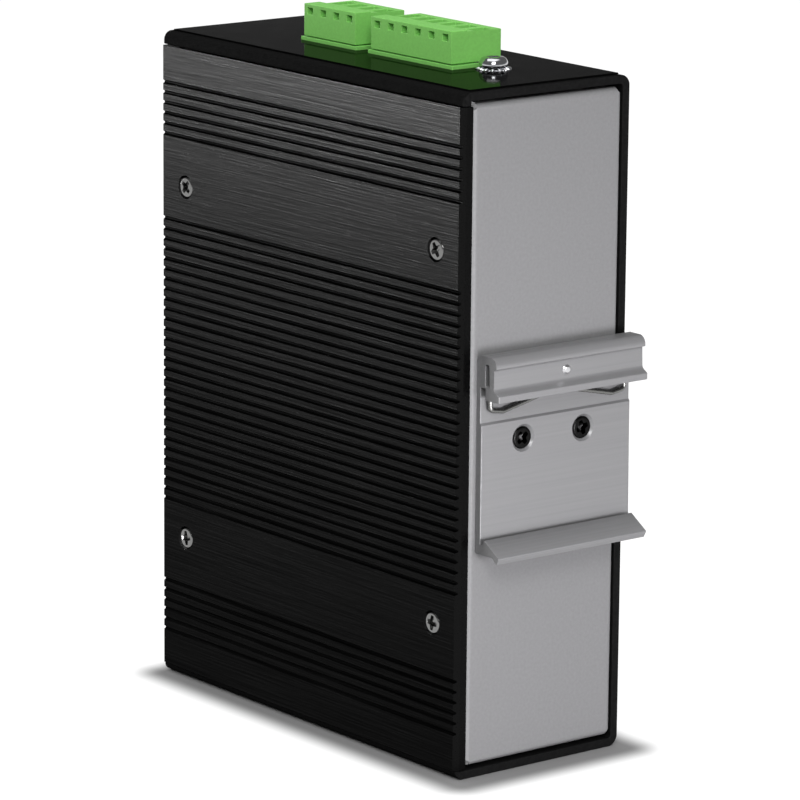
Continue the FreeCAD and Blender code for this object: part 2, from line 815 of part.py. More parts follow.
def rail_clip():
    """One extruded section: a back with a hook over the rail and a ledge under it."""
    body = new_body("RailClip")
    fall = "ledge_fall / (ledge_reach - ledge_root)"
    section = outline(body, "YZ_Plane", CLIP_LOW_X, [
        (REAR, CLIP_BASE),
        (at_rear("ledge_reach - ledge_thick - 0.8"), CLIP_BASE),
        (at_rear("ledge_reach - 0.75"), f"{LEDGE_TOP} - ledge_fall - ledge_thick + 0.15"),
        (at_rear("ledge_reach"), f"{LEDGE_TOP} - ledge_fall"),
        (at_rear("ledge_root"), LEDGE_TOP),
        (at_rear("slot_near"), LEDGE_TOP),
        (at_rear("slot_near"), "rail_low"),
        (at_rear("clip_back"), "rail_low"),
        (at_rear("clip_back"), "rail_low + step_height - (clip_back - clip_root)"),
        (at_rear("clip_root"), "rail_low + step_height"),
        (at_rear("clip_root"), ROOF),
        (at_rear("slot_near"), ROOF),
        (at_rear("slot_near"), LIP_LOW),
        (at_rear("lip_reach"), LIP_LOW),
        (at_rear("lip_reach"), f"{LIP_LOW} + lip_thick"),
        (at_rear("hook_outer"), f"{LIP_LOW} + lip_thick + 0.9"),
        (at_rear("hook_outer"), f"{ROOF} + bead_low - 0.4"),
        (at_rear("hook_bead"), f"{ROOF} + bead_low"),
        (at_rear("hook_bead"), HOOK_TOP),
        (REAR, HOOK_TOP),
    ])
    slot_low = f"{ROOF} + wall_slot_floor"
    draw(section, [
        (at_rear("slot_near"), slot_low),
        (at_rear("slot_near + wall_slot"), slot_low),
        (at_rear("slot_near + wall_slot"), f"{ROOF} + wall_slot_high"),
        (at_rear("slot_near"), f"{ROOF} + wall_slot_high"),
    ])
    bar = pad(body, section, "clip_width")
    bar = round_edges(body, bar, "2.1", ("clip_centre", at_rear("hook_bead"), HOOK_TOP))
    bar = round_edges(body, bar, "1.8", ("clip_centre", REAR, HOOK_TOP))
    bar = round_edges(body, bar, "0.6", ("clip_centre", at_rear("slot_near"), f"{ROOF} + wall_slot_high"),
                      ("clip_centre", at_rear("slot_near + wall_slot"), f"{ROOF} + wall_slot_high"))
    bar = round_edges(body, bar, "1.0", ("clip_centre", at_rear("hook_outer"), f"{LIP_LOW} + lip_thick + 0.9"))
    bar = round_edges(body, bar, "0.3", ("clip_centre", at_rear("hook_bead"), f"{ROOF} + bead_low"),
                      ("clip_centre", at_rear("ledge_reach"), f"{LEDGE_TOP} - ledge_fall"))
    holes = [
        sunk_hole("+Y", x, at_rear("clip_back"), "clip_screw_z", "clip_sink", SCREW_HOLE, "clip_back + 1")
        for x in CLIP_SCREWS
    ]
    pin_bore = rod("+Y", "pin_x", at_rear("clip_root + 0.6"), "pin_z", "pin_radius + hole_gap / 2", "hook_outer + 2")
    part(cut(body, *holes, pin_bore), "rail_clip")
    screws = [
        sunk_screw("+Y", x, at_rear("clip_back - 0.1"), "clip_screw_z", "clip_screw_head", "screw_radius", "screw_length")
        for x in CLIP_SCREWS
    ]
    part(group(screws), "clip_screws")
    nuts = []
    for x in CLIP_SCREWS:
        blank = rod("-Y", x, f"{REAR} - pan_thick", "clip_screw_z", "clip_nut_radius", "clip_nut_height")
        bore = rod("-Y", x, f"{REAR} - pan_thick + 1", "clip_screw_z", SCREW_HOLE, "clip_nut_height + 2")
        nuts.append(cut(blank, bore))
    part(group(nuts), "clip_nuts")
    stem = rod("+Y", "pin_x", at_rear("clip_root + 0.8"), "pin_z", "pin_radius", "hook_outer - clip_root - 0.8")
    head = cone("+Y", "pin_x", at_rear("hook_outer"), "pin_z", "pin_head", "pin_head * 0.55", "pin_crown")
    part(fuse(stem, head), "spring_pin")


rail_clip()


def rounded_route(points, radius):
    """Straight runs joined by tangent arcs."""
    edges = []
    start = points[0]
    for before, corner, after in zip(points, points[1:], points[2:]):
        to_start = (before - corner).normalize()
        to_end = (after - corner).normalize()
        half = to_start.getAngle(to_end) / 2
        back = radius / math.tan(half)
        first = corner + to_start * back
        last = corner + to_end * back
        middle = (to_start + to_end).normalize()
        crest = corner + middle * (radius / math.sin(half) - radius)
        edges.append(Part.makeLine(start, first))
        edges.append(Part.Arc(first, crest, last).toShape())
        start = last
    edges.append(Part.makeLine(start, points[-1]))
    return Part.Wire(edges)


def clip_spring():
    """The bent wire that presses the rail down, in the hook's recess."""
    y = number(at_rear("(clip_root + slot_near) / 2"))
    high = number(f"{ROOF} - wire_radius")
    low = number(f"{ROOF} - spring_sag")
    middle = number("clip_centre")
    bow = number("spring_low")
    tip = number("spring_tip")
    knee = number("spring_knee")
    half = [(tip, high), (tip - 0.3, low + 0.2), (bow, low - 0.4), (knee, low + number("spring_knee_rise")), (1.1, high)]
    route = [(-x, z) for x, z in half] + [(x, z) for x, z in reversed(half)]
    points = [Vector(middle + x, y, z) for x, z in route]
    path = rounded_route(points, 0.9)
    start = path.Edges[0].Vertexes[0].Point
    circle = Part.Wire(Part.Circle(start, points[1] - points[0], number("wire_radius")).toShape())
    spring = doc.addObject("Part::Feature", "Spring")
    spring.Shape = path.makePipeShell([circle], True, False)
    part(spring, "clip_spring")


clip_spring()

# Pluggable terminals
RIM_TOP = f"({OVERLAY_TOP} + rim_height)"
PLUG_TOP = f"({OVERLAY_TOP} + plug_rise)"
CAGE_TOP = f"({PLUG_TOP} - cage_sink)"
CLAMP_Z = f"({OVERLAY_TOP} + clamp_rise)"
PLUG_LOW = f"({RIM_TOP} + rim_gap)"
CAGE_LOW = f"({CAGE_TOP} - cage_high)"
WELL = ("plug_far + funnel_inset", "plug_far + funnel_inset + cage_long + 2 * cage_ease")


def pole_places(poles, middle):
    return [f"{middle} + {pole - (poles - 1) / 2} * plug_pitch" for pole in range(poles)]


def terminal(name, poles, middle):
    """A header with its posts, and the plug that pushes onto it with its clamps and screws."""
    half = plug_half(poles)
    across, along = shroud_span(poles, middle)
    well_floor = f"{IO_BOARD_TOP} + shroud_floor"
    cavity_x = (f"{across[0]} + shroud_wall", f"{across[1]} - shroud_wall")
    cavity_y = (f"{along[0]} + shroud_wall", f"{along[1]} - shroud_wall")
    rows = pole_places(poles, middle)
    post_x = "(plug_far + funnel_inset + cage_long / 2 + cage_ease)"
    shroud = cut(
        box(across, along, (IO_BOARD_TOP, RIM_TOP)),
        box(cavity_x, cavity_y, (well_floor, f"{RIM_TOP} + 1")),
        *[
            box(
                (f"{post_x} - post_width / 2 - 0.03", f"{post_x} + post_width / 2 + 0.03"),
                (f"{y} - post_width / 2 - 0.03", f"{y} + post_width / 2 + 0.03"),
                (f"{IO_BOARD_TOP} - 1", f"{well_floor} + 1"),
            )
            for y in rows
        ],
    )
    part(shroud, f"{name}_header")
    posts = [
        box(
            (f"{post_x} - post_width / 2", f"{post_x} + post_width / 2"),
            (f"{y} - post_width / 2", f"{y} + post_width / 2"),
            (f"{IO_BOARD_LOW} - post_tail", "height - post_sink"),
        )
        for y in rows
    ]
    part(group(posts), f"{name}_header_posts")

    head = box(("plug_far", "plug_near"), (f"{middle} - {half}", f"{middle} + {half}"), (PLUG_LOW, PLUG_TOP))
    insert = box(
        (f"{cavity_x[0]} + insert_ease", f"{cavity_x[1]} - insert_ease"),
        (f"{cavity_y[0]} + insert_ease", f"{cavity_y[1]} - insert_ease"),
        (f"{PLUG_LOW} - insert_depth", PLUG_LOW),
    )
    low_step = box(
        ("plug_far - 1", "plug_near - plug_band"),
        (f"{middle} - {half} - 1", f"{middle} + {half} + 1"),
        (f"{PLUG_TOP} - plug_step", f"{PLUG_TOP} + 1"),
    )
    tools = [low_step]
    cages = []
    clamps = []
    for y in rows:
        side = ("(cage_wide / 2 + cage_ease)", "cage_wide / 2")
        tools.append(box(WELL, (f"{y} - {side[0]}", f"{y} + {side[0]}"), (CAGE_LOW, f"{PLUG_TOP} + 1")))
        tools.append(box(
            (f"{post_x} - post_slot / 2", f"{post_x} + post_slot / 2"),
            (f"{y} - post_slot / 2", f"{y} + post_slot / 2"),
            (f"{PLUG_LOW} - insert_depth - 1", f"{CAGE_LOW} + 1"),
        ))
        tools.append(box(
            ("plug_near - window_deep", "plug_near + 1"),
            (f"{y} - window_wide / 2", f"{y} + window_wide / 2"),
            (f"{PLUG_TOP} - window_drop - window_high", f"{PLUG_TOP} - window_drop"),
        ))
        tools.append(rod("+X", "plug_far - 1", y, CLAMP_Z, "clamp_bore", "funnel_inset + 2"))
        frame = box(
            (f"{WELL[0]} + cage_ease", f"{WELL[1]} - cage_ease"),
            (f"{y} - {side[1]}", f"{y} + {side[1]}"),
            (CAGE_LOW, CAGE_TOP),
        )
        mouth = box(
            (f"{post_x} - 1.6", f"{post_x} + 1.6"),
            (f"{y} - 1.1", f"{y} + 1.1"),
            (f"{CAGE_LOW} + 1", f"{CAGE_TOP} + 1"),
        )
        thread = rod("+X", "plug_far", y, CLAMP_Z, "clamp_radius - 0.5", "funnel_inset + 1.2")
        cages.append(cut(frame, mouth, thread))
        screw = fuse(
            rod("+X", "plug_far + 0.4", y, CLAMP_Z, "clamp_radius", "funnel_inset - 0.4"),
            rod("+X", "plug_far + 1", y, CLAMP_Z, "clamp_radius - 0.55", "funnel_inset + 0.1"),
        )
        driver = box(
            ("plug_far", "plug_far + 0.9"),
            (f"{y} - 2", f"{y} + 2"),
            (f"{CLAMP_Z} - 0.25", f"{CLAMP_Z} + 0.25"),
        )
        clamps.append(cut(screw, driver))
    part(cut(fuse(head, insert), *tools), f"{name}_plug")
    part(group(cages), f"{name}_plug_clamps")
    part(group(clamps), f"{name}_plug_screws")
    return [(post_x, y) for y in rows]


POSTS = []
for plug_name, (plug_poles, plug_centre) in PLUGS.items():
    POSTS += terminal(plug_name, plug_poles, plug_centre)

# Terminal board under the top cover
LINK_ROWS = [f"{pin - (LINK_PINS - 1) / 2} * link_pitch" for pin in range(LINK_PINS)]
LINK_LEVEL = f"({BOARD_HIGH} - link_drop)"
SPACER_PLACES = [("spacer_x", f"{side} * spacer_y") for side in (-1, 1)]


def square_hole(x, y, z, size, deep):
    half = f"({size}) / 2"
    return box((f"{x} - {half}", f"{x} + {half}"), (f"{y} - {half}", f"{y} + {half}"), (z, f"{z} + {deep}"))


def terminal_board():
    blank = box(
        ("-io_board_half", "io_board_half"),
        ("-io_board_end", "io_board_end"),
        (IO_BOARD_LOW, IO_BOARD_TOP),
    )
    holes = [square_hole(x, y, f"{IO_BOARD_LOW} - 1", "post_width + 0.1", "board_thick + 2") for x, y in POSTS]
    holes += [square_hole(LINK_X, y, f"{IO_BOARD_LOW} - 1", "link_pin + 0.1", "board_thick + 2") for y in LINK_ROWS]
    holes += [rod("+Z", x, y, f"{IO_BOARD_LOW} - 1", SCREW_HOLE, "board_thick + 2") for x, y in SPACER_PLACES]
    part(cut(blank, *holes), "terminal_board")
    spacers = []
    for x, y in SPACER_PLACES:
        post = hexagon("+Z", x, y, IO_BOARD_TOP, "standoff_flat", f"height - cover_thick - {IO_BOARD_TOP}")
        bore = rod("+Z", x, y, f"{IO_BOARD_TOP} - 1", SCREW_HOLE, "6")
        spacers.append(cut(post, bore))
    part(group(spacers), "board_spacers")
    screws = [
        pan_head_screw("-Z", x, y, IO_BOARD_LOW, "board_screw_head", "board_screw_high", "screw_radius", "5")
        for x, y in SPACER_PLACES
    ]
    part(group(screws), "terminal_board_screws")
    block = box(
        (f"{LINK_X} - link_wide / 2", f"{LINK_X} + link_wide / 2"),
        (f"-{LINK_PINS} * link_pitch / 2", f"{LINK_PINS} * link_pitch / 2"),
        (f"{IO_BOARD_LOW} - link_high", IO_BOARD_LOW),
    )
    pins = []
    bores = []
    for y in LINK_ROWS:
        half = "link_pin / 2"
        upright = box(
            (f"{LINK_X} - {half}", f"{LINK_X} + {half}"),
            (f"{y} - {half}", f"{y} + {half}"),
            (f"{LINK_LEVEL} - {half}", f"{IO_BOARD_TOP} + 1.2"),
        )
        foot = box(
            (f"{LINK_X} - {half}", f"{BOARD_BACK} + 0.8"),
            (f"{y} - {half}", f"{y} + {half}"),
            (f"{LINK_LEVEL} - {half}", f"{LINK_LEVEL} + {half}"),
        )
        pins.append(fuse(upright, foot))
        bores.append(square_hole(LINK_X, y, f"{IO_BOARD_LOW} - link_high - 1", "link_pin + 0.04", "link_high + 2"))
    part(cut(block, *bores), "board_link")
    part(group(pins), "board_link_pins")
    fuse_body = rod("+Y", "spacer_x", "-fuse_long / 2", f"{IO_BOARD_TOP} + fuse_radius", "fuse_radius", "fuse_long")
    part(fuse_body, "input_fuse")
    drum = [
        rod("+Z", "spacer_x", "choke_y", IO_BOARD_TOP, "choke_radius", "choke_flange"),
        rod("+Z", "spacer_x", "choke_y", IO_BOARD_TOP, "choke_radius * 0.8", "choke_high"),
        rod("+Z", "spacer_x", "choke_y", f"{IO_BOARD_TOP} + choke_high - choke_flange", "choke_radius", "choke_flange"),
    ]
    part(fuse(*drum), "filter_choke")


terminal_board()

# Main board
STANDOFF_PLACES = [
    (f"{along} * standoff_y", z)
    for along in (-1, 1)
    for z in ("board_low + standoff_edge", f"{BOARD_HIGH} - standoff_edge")
]


def on_face(y, z, deep, long, high, start=BOARD_FACE):
    """A block that stands on the main board: deep along Y, long along Z, high along X."""
    return box(
        (f"{start} - {high}", start),
        (f"{y} - ({deep}) / 2", f"{y} + ({deep}) / 2"),
        (f"{z} - ({long}) / 2", f"{z} + ({long}) / 2"),
    )


def main_board():
    blank = box(
        (BOARD_FACE, BOARD_BACK),
        (f"{FRONT} + board_front", f"{REAR} - board_rear"),
        ("board_low", BOARD_HIGH),
    )
    holes = [rod("+X", f"{BOARD_FACE} - 1", y, z, SCREW_HOLE, "board_thick + 2") for y, z in STANDOFF_PLACES]
    for y in LINK_ROWS:
        half = "(link_pin / 2 + 0.05)"
        holes.append(box(
            (f"{BOARD_FACE} - 1", f"{BOARD_BACK} + 1"),
            (f"{y} - {half}", f"{y} + {half}"),
            (f"{LINK_LEVEL} - {half}", f"{LINK_LEVEL} + {half}"),
        ))
    part(cut(blank, *holes), "main_board")
    posts = []
    screws = []
    for y, z in STANDOFF_PLACES:
        post = hexagon("+X", BOARD_BACK, y, z, "standoff_flat", "standoff_long")
        bore = rod("+X", f"{BOARD_BACK} - 1", y, z, SCREW_HOLE, "5")
        posts.append(cut(post, bore))
        screws.append(pan_head_screw("-X", BOARD_FACE, y, z, "board_screw_head", "board_screw_high", "screw_radius", "5"))
    part(group(posts), "board_standoffs")
    part(group(screws), "main_board_screws")


main_board()


# Port module with its shield, sockets and contacts
PORT_MIDDLE = f"({BOARD_FACE} - jack_high / 2)"


def jack_module():
    outside = (
        (f"{BOARD_FACE} - jack_high", BOARD_FACE),
        (FRONT, f"{FRONT} + jack_deep"),
        (JACK_LOW, JACK_HIGH),
    )
    inside = (
        (f"{BOARD_FACE} - jack_high + jack_skin", BOARD_FACE),
        (FRONT, f"{FRONT} + jack_deep - jack_skin"),
        (f"{JACK_LOW} + jack_skin", f"{JACK_HIGH} - jack_skin"),
    )
    hollow = box(
        (inside[0][0], f"{BOARD_FACE} + 1"),
        (f"{FRONT} - 1", inside[1][1]),
        inside[2],
    )
    part(cut(box(*outside), hollow), "port_shield")
    cavities = []
    contacts = []
    for row in range(JACK_ROWS):
        z = f"{JACK_Z} + {row - (JACK_ROWS - 1) / 2} * jack_pitch"
        for side in (-1, 1):
            x = f"{PORT_MIDDLE} + {side} * port_offset"
            depth_range = (f"{FRONT} - 1", f"{FRONT} + port_deep")
            cavities.append(box(
                (f"{x} - port_high / 2", f"{x} + port_high / 2"),
                depth_range,
                (f"{z} - port_wide / 2", f"{z} + port_wide / 2"),
            ))
            reach = (f"{x} + {side} * (port_high / 2 - 0.5)", f"{x} + {side} * (port_high / 2 + latch_high)")
            latch = sorted(reach, key=number)
            cavities.append(box(latch, depth_range, (f"{z} - latch_wide / 2", f"{z} + latch_wide / 2")))
            for wire in range(JACK_CONTACTS):
                level = f"{z} + {wire - (JACK_CONTACTS - 1) / 2} * contact_pitch"
                low = f"{x} - {side} * port_high / 2"
                span = sorted((low, f"{low} + {side} * 1.2"), key=number)
                contacts.append(box(
                    span,
                    (f"{FRONT} + port_deep - contact_long", f"{FRONT} + port_deep"),
                    (f"{level} - contact_wide / 2", f"{level} + contact_wide / 2"),
                ))
    part(cut(box(*inside), *cavities), "port_block")
    part(group(contacts), "port_contacts")


jack_module()


def sfp_cages():
    sockets = []
    for index, z in enumerate(SFP_PLACES):
        shell = box(
            (f"{BOARD_FACE} - sfp_high", BOARD_FACE),
            (FRONT, f"{FRONT} + sfp_deep"),
            (f"{z} - sfp_wide / 2", f"{z} + sfp_wide / 2"),
        )
        bay = box(
            (f"{BOARD_FACE} - sfp_high + sfp_wall", f"{BOARD_FACE} - sfp_wall"),
            (f"{FRONT} - 1", f"{FRONT} + sfp_deep - sfp_wall"),
            (f"{z} - sfp_wide / 2 + sfp_wall", f"{z} + sfp_wide / 2 - sfp_wall"),
        )
        part(cut(shell, bay), f"sfp_cage_{index + 1}")
        back = f"{FRONT} + sfp_deep - sfp_wall"
        socket = box(
            (f"{BOARD_FACE} - sfp_wall - sfp_socket_high", f"{BOARD_FACE} - sfp_wall"),
            (f"{back} - sfp_socket_deep", back),
            (f"{z} - sfp_socket_wide / 2", f"{z} + sfp_socket_wide / 2"),
        )
        slit = box(
            (f"{BOARD_FACE} - sfp_wall - 3.6", f"{BOARD_FACE} - sfp_wall - 2.2"),
            (f"{back} - sfp_socket_deep - 1", f"{back} - 3"),
            (f"{z} - sfp_socket_wide / 2 + 1", f"{z} + sfp_socket_wide / 2 - 1"),
        )
        sockets.append(cut(socket, slit))
    part(group(sockets), "sfp_sockets")


sfp_cages()


def lamps():
    """The clear light guide and the lamps behind it."""
    back = f"{FRONT} + pan_thick + 0.3 + lamp_block_deep"
    half = f"{LAMP_ROWS} * lamp_pitch / 2"
    block = box(
        (f"{BOARD_FACE} - lamp_block_high", BOARD_FACE),
        (f"{FRONT} + pan_thick + 0.3", back),
        (f"{LAMP_Z} - {half}", f"{LAMP_Z} + {half}"),
    )
    guides = [
        rod("-Y", x, f"{back} - 2", z, "lamp_radius", f"{back} - 2 - ({FRONT}) + lamp_proud")
        for x in LAMP_COLUMNS
        for z in LAMP_LEVELS
    ]
    part(fuse(block, *guides), "light_guide")
    chips = [on_face(f"{back} + led_size / 2", z, "led_size", "led_size", "led_size / 2") for z in LAMP_LEVELS]
    part(group(chips), "status_leds")


lamps()


def board_parts():
    pads = []
    pad_start = f"({NEAR_WALL} - spreader_thick)"
    chip = box(
        (BOARD_BACK, f"{BOARD_BACK} + chip_high"),
        ("chip_y - chip_side / 2", "chip_y + chip_side / 2"),
        (f"{JACK_Z} - chip_side / 2", f"{JACK_Z} + chip_side / 2"),
    )
    part(chip, "switch_chip")
    phys = []
    for side in (-1, 1):
        middle = f"{JACK_Z} + {side} * phy_gap"
        span_y = ("chip_y - phy_side / 2", "chip_y + phy_side / 2")
        span_z = (f"{middle} - phy_side / 2", f"{middle} + phy_side / 2")
        phys.append(box((BOARD_BACK, f"{BOARD_BACK} + phy_high"), span_y, span_z))
        pads.append(box((f"{BOARD_BACK} + phy_high", pad_start), span_y, span_z))
    part(group(phys), "line_chips")
    pads.append(box(
        (f"{BOARD_BACK} + chip_high", pad_start),
        ("chip_y - chip_side / 2", "chip_y + chip_side / 2"),
        (f"{JACK_Z} - chip_side / 2", f"{JACK_Z} + chip_side / 2"),
    ))
    part(group(pads), "thermal_pads")
    spreader = box(
        (pad_start, NEAR_WALL),
        ("chip_y - spreader_side / 2", "chip_y + spreader_side / 2"),
        (f"{JACK_Z} - phy_gap - spreader_side / 2", f"{JACK_Z} + phy_gap + spreader_side / 2"),
    )
    part(spreader, "heat_spreader")
    coils = [
        on_face(
            "coil_box_y", f"{JACK_Z} + {row - (JACK_ROWS - 1) / 2} * jack_pitch",
            "coil_box_deep", "coil_box_long", "coil_box_high",
        )
        for row in range(JACK_ROWS)
    ]
    part(group(coils), "line_transformers")
    cans = [
        rod(
            "-X", BOARD_FACE, "capacitor_y", f"{BOARD_HIGH} - capacitor_drop - {can} * capacitor_pitch",
            "capacitor_radius", "capacitor_high",
        )
        for can in range(CAPACITORS)
    ]
    part(group(cans), "capacitors")
    core = on_face("transformer_y", TRANSFORMER_Z, "14", "18", "12")
    wound = on_face("transformer_y", TRANSFORMER_Z, "18", "10", "8", f"{BOARD_FACE} - 2")
    part(fuse(core, wound), "power_transformer")
    chokes = [
        on_face(
            f"relay_y + {step} * 17", f"{TRANSFORMER_Z} - 21", "inductor_side", "inductor_side", "inductor_high"
        )
        for step in (0, 1)
    ]
    part(group(chokes), "power_inductors")
    part(on_face("relay_y", TRANSFORMER_Z, "10", "16", "11"), "alarm_relay")
    memories = [on_face("memory_y", f"{JACK_Z} - memory_drop + {side} * 7", "13", "8", "1.1") for side in (-1, 1)]
    part(group(memories), "memory_chips")
    part(on_face("crystal_y", "crystal_z", "4.6", "11", "3.6"), "clock_crystal")


board_parts()


def save_parts():
    doc.recompute()
    faults = [item.Name for item in doc.Objects if {"Invalid", "Error"} & set(item.State)]
    if faults:
        raise RuntimeError(f"objects in error: {faults}")
    os.makedirs("parts", exist_ok=True)
    triangles = 0
    for item in PARTS:
        shape = item.Shape
        if shape.isNull() or not shape.isValid() or not shape.Solids:
            raise RuntimeError(f"{item.Label} has no valid solid")
        triangles += len(shape.tessellate(0.1)[1])
        shape.exportStep(f"parts/{item.Label}.step")
    print(f"{len(PARTS)} parts, about {triangles} triangles")


save_parts()
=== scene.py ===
# %% [markdown]
# # A rail-mounted network switch
#
# The object is a slim metal box that clips on a rail in a control cabinet. One ribbed
# aluminium plate carries the heat away. One folded black sheet makes the top, the
# plain side and the bottom, folded panels close the ends, and green plugs on the top
# take the wires. The solids come from a CAD model. This lesson gives each surface its
# finish, rounds the edges that catch the light, remakes the screws, and sets up the
# light and the camera of a plain product photograph.

# %% Load the frame
import bmesh
import bpy
import json
import math
from mathutils import Matrix, Vector


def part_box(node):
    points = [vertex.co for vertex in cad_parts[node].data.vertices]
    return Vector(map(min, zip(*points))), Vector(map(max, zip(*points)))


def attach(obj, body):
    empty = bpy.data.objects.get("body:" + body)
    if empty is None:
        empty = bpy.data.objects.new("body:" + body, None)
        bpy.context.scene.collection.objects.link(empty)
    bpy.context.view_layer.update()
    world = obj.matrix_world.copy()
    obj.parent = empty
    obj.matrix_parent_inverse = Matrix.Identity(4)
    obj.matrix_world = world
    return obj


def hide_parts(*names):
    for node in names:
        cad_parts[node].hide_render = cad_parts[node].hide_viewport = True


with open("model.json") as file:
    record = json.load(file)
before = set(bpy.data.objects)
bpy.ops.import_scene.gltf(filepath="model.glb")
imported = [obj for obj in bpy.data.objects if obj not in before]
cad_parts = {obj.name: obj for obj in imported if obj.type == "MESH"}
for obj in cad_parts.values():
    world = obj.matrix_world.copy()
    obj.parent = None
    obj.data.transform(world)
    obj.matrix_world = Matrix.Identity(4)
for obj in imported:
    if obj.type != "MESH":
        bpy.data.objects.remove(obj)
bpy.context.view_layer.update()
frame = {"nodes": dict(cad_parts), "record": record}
nodes = frame["nodes"]
MM = 0.001

# %% [markdown]
# ## Camera
#
# The lens, place and turn of the camera were found by matching corners of the model
# to the same corners in the photograph. Placed by eye, no edge would lie quite where
# the photograph has it. A long lens keeps the upright edges nearly parallel, as
# product photographs have them.

# %% Camera
SENSOR_MM = 36
LENS_MM = 216.72
NEAREST, FARTHEST = 0.05, 20
CAMERA_PLACE = (0.692474, 0.882553, 0.330941)
CAMERA_TURN = (77.2003, -0.5107, 141.8418)

camera_data = bpy.data.cameras.new("camera")
camera_data.sensor_width = SENSOR_MM
camera_data.lens = LENS_MM
camera_data.clip_start = NEAREST
camera_data.clip_end = FARTHEST
camera = bpy.data.objects.new("camera", camera_data)
camera.location = CAMERA_PLACE
camera.rotation_euler = [math.radians(angle) for angle in CAMERA_TURN]
bpy.context.scene.collection.objects.link(camera)
bpy.context.scene.camera = camera
print(f"camera at {[round(v, 3) for v in camera.location]}, lens {camera_data.lens:.1f} mm")

# %% [markdown]
# ## Shader nodes
#
# The world, the floor and every finish are made of shader nodes. They could be put
# together in the editor, but a script makes them the same each time. Small helpers keep
# it short: one starts an empty material, and one adds a node with its values.

# %% Node helpers
def new_material(name):
    """An empty material, its tree and its output."""
    material = bpy.data.materials.new(name)
    material.use_nodes = True
    tree = material.node_tree
    tree.nodes.clear()
    output = tree.nodes.new("ShaderNodeOutputMaterial")
    return material, tree, output


def add(tree, kind, **values):
    """A node with some of its properties and inputs set."""
    node = tree.nodes.new(kind)
    for key, value in values.items():
        if hasattr(node, key):
            setattr(node, key, value)
        else:
            node.inputs[key.replace("_", " ")].default_value = value
    return node


def seen_directly(tree):
    """One number that is 1 for camera, glossy and transmission rays."""
    rays = add(tree, "ShaderNodeLightPath")
    total = None
    for ray in ("Is Camera Ray", "Is Glossy Ray", "Is Transmission Ray"):
        if total is None:
            total = rays.outputs[ray]
            continue
        either = add(tree, "ShaderNodeMath", operation="MAXIMUM")
        tree.links.new(total, either.inputs[0])
        tree.links.new(rays.outputs[ray], either.inputs[1])
        total = either.outputs[0]
    return total


print("node helpers ready")

# %% [markdown]
# ## World
#
# The photograph has a pure white background, so the world is white to the camera. In
# reflections it is white at the horizon and below, like the backdrop, and fades to a
# dark ceiling above. An all white world could be simpler, but black metal shows every
# bright thing around it and would turn grey. The light on matt surfaces is plain and
# even.

# %% World
EVEN_LIGHT = 0.7
CEILING = 0.13
FADE_STARTS, FADE_ENDS = 0.03, 0.14

world = bpy.data.worlds.new("studio")
bpy.context.scene.world = world
world.use_nodes = True
sky = world.node_tree
sky.nodes.clear()
rays = add(sky, "ShaderNodeLightPath")
direction = add(sky, "ShaderNodeTexCoord")
parts = add(sky, "ShaderNodeSeparateXYZ")
fade = add(sky, "ShaderNodeMapRange", clamp=True)
fade.inputs["From Min"].default_value = FADE_STARTS
fade.inputs["From Max"].default_value = FADE_ENDS
fade.inputs["To Min"].default_value = 1.0
fade.inputs["To Max"].default_value = CEILING
even_light = add(sky, "ShaderNodeBackground", Color=(1, 1, 1, 1), Strength=EVEN_LIGHT)
backdrop = add(sky, "ShaderNodeBackground", Color=(1, 1, 1, 1))
white_view = add(sky, "ShaderNodeBackground", Color=(1, 1, 1, 1), Strength=1.0)
reflected = add(sky, "ShaderNodeMath", operation="MAXIMUM")
with_backdrop = add(sky, "ShaderNodeMixShader")
with_view = add(sky, "ShaderNodeMixShader")
sky_output = add(sky, "ShaderNodeOutputWorld")
sky.links.new(direction.outputs["Generated"], parts.inputs[0])
sky.links.new(parts.outputs["Z"], fade.inputs["Value"])
sky.links.new(fade.outputs[0], backdrop.inputs["Strength"])
sky.links.new(rays.outputs["Is Glossy Ray"], reflected.inputs[0])
sky.links.new(rays.outputs["Is Transmission Ray"], reflected.inputs[1])
sky.links.new(reflected.outputs[0], with_backdrop.inputs[0])
sky.links.new(even_light.outputs[0], with_backdrop.inputs[1])
sky.links.new(backdrop.outputs[0], with_backdrop.inputs[2])
sky.links.new(rays.outputs["Is Camera Ray"], with_view.inputs[0])
sky.links.new(with_backdrop.outputs[0], with_view.inputs[1])
sky.links.new(white_view.outputs[0], with_view.inputs[2])
sky.links.new(with_view.outputs[0], sky_output.inputs[0])
print(f"world: even light {EVEN_LIGHT}, ceiling {CEILING} in reflections")

# %% [markdown]
# ## Floor
#
# A white floor could be lit until it clips, but that light would bleach the black
# metal. This floor is dark for light that bounces off it, and glows to the camera and
# in reflections. The glow starts near the box's edge and is full a centimetre further
# out, so the floor clears to white, and the missing glow paints a narrow contact
# shadow. The dark floor also takes some real shade from the lamps. It lies a tenth of
# a millimetre below the base, so that the two flat faces don't share one plane.

# %% Floor sheet
FLOOR_HALF = 3.0
FLOOR_DROP = 0.1 * MM

floor_mesh = bmesh.new()
bmesh.ops.create_grid(floor_mesh, x_segments=2, y_segments=2, size=FLOOR_HALF)
floor_data = bpy.data.meshes.new("floor")
floor_mesh.to_mesh(floor_data)
floor_mesh.free()
floor = bpy.data.objects.new("floor", floor_data)
floor.location.z = -FLOOR_DROP
bpy.context.scene.collection.objects.link(floor)
print("floor", [round(v, 2) for v in floor.dimensions])

# %% Floor finish
FLOOR_TONE = 0.2
FULL_GLOW = 0.86
GLOW_STARTS, GLOW_FULL_AT = 1.5 * MM, 10.8 * MM
# The painted contact shadow is moved this far off the box's middle.
SHADOW_SHIFT = (0.7 * MM, 2.8 * MM)

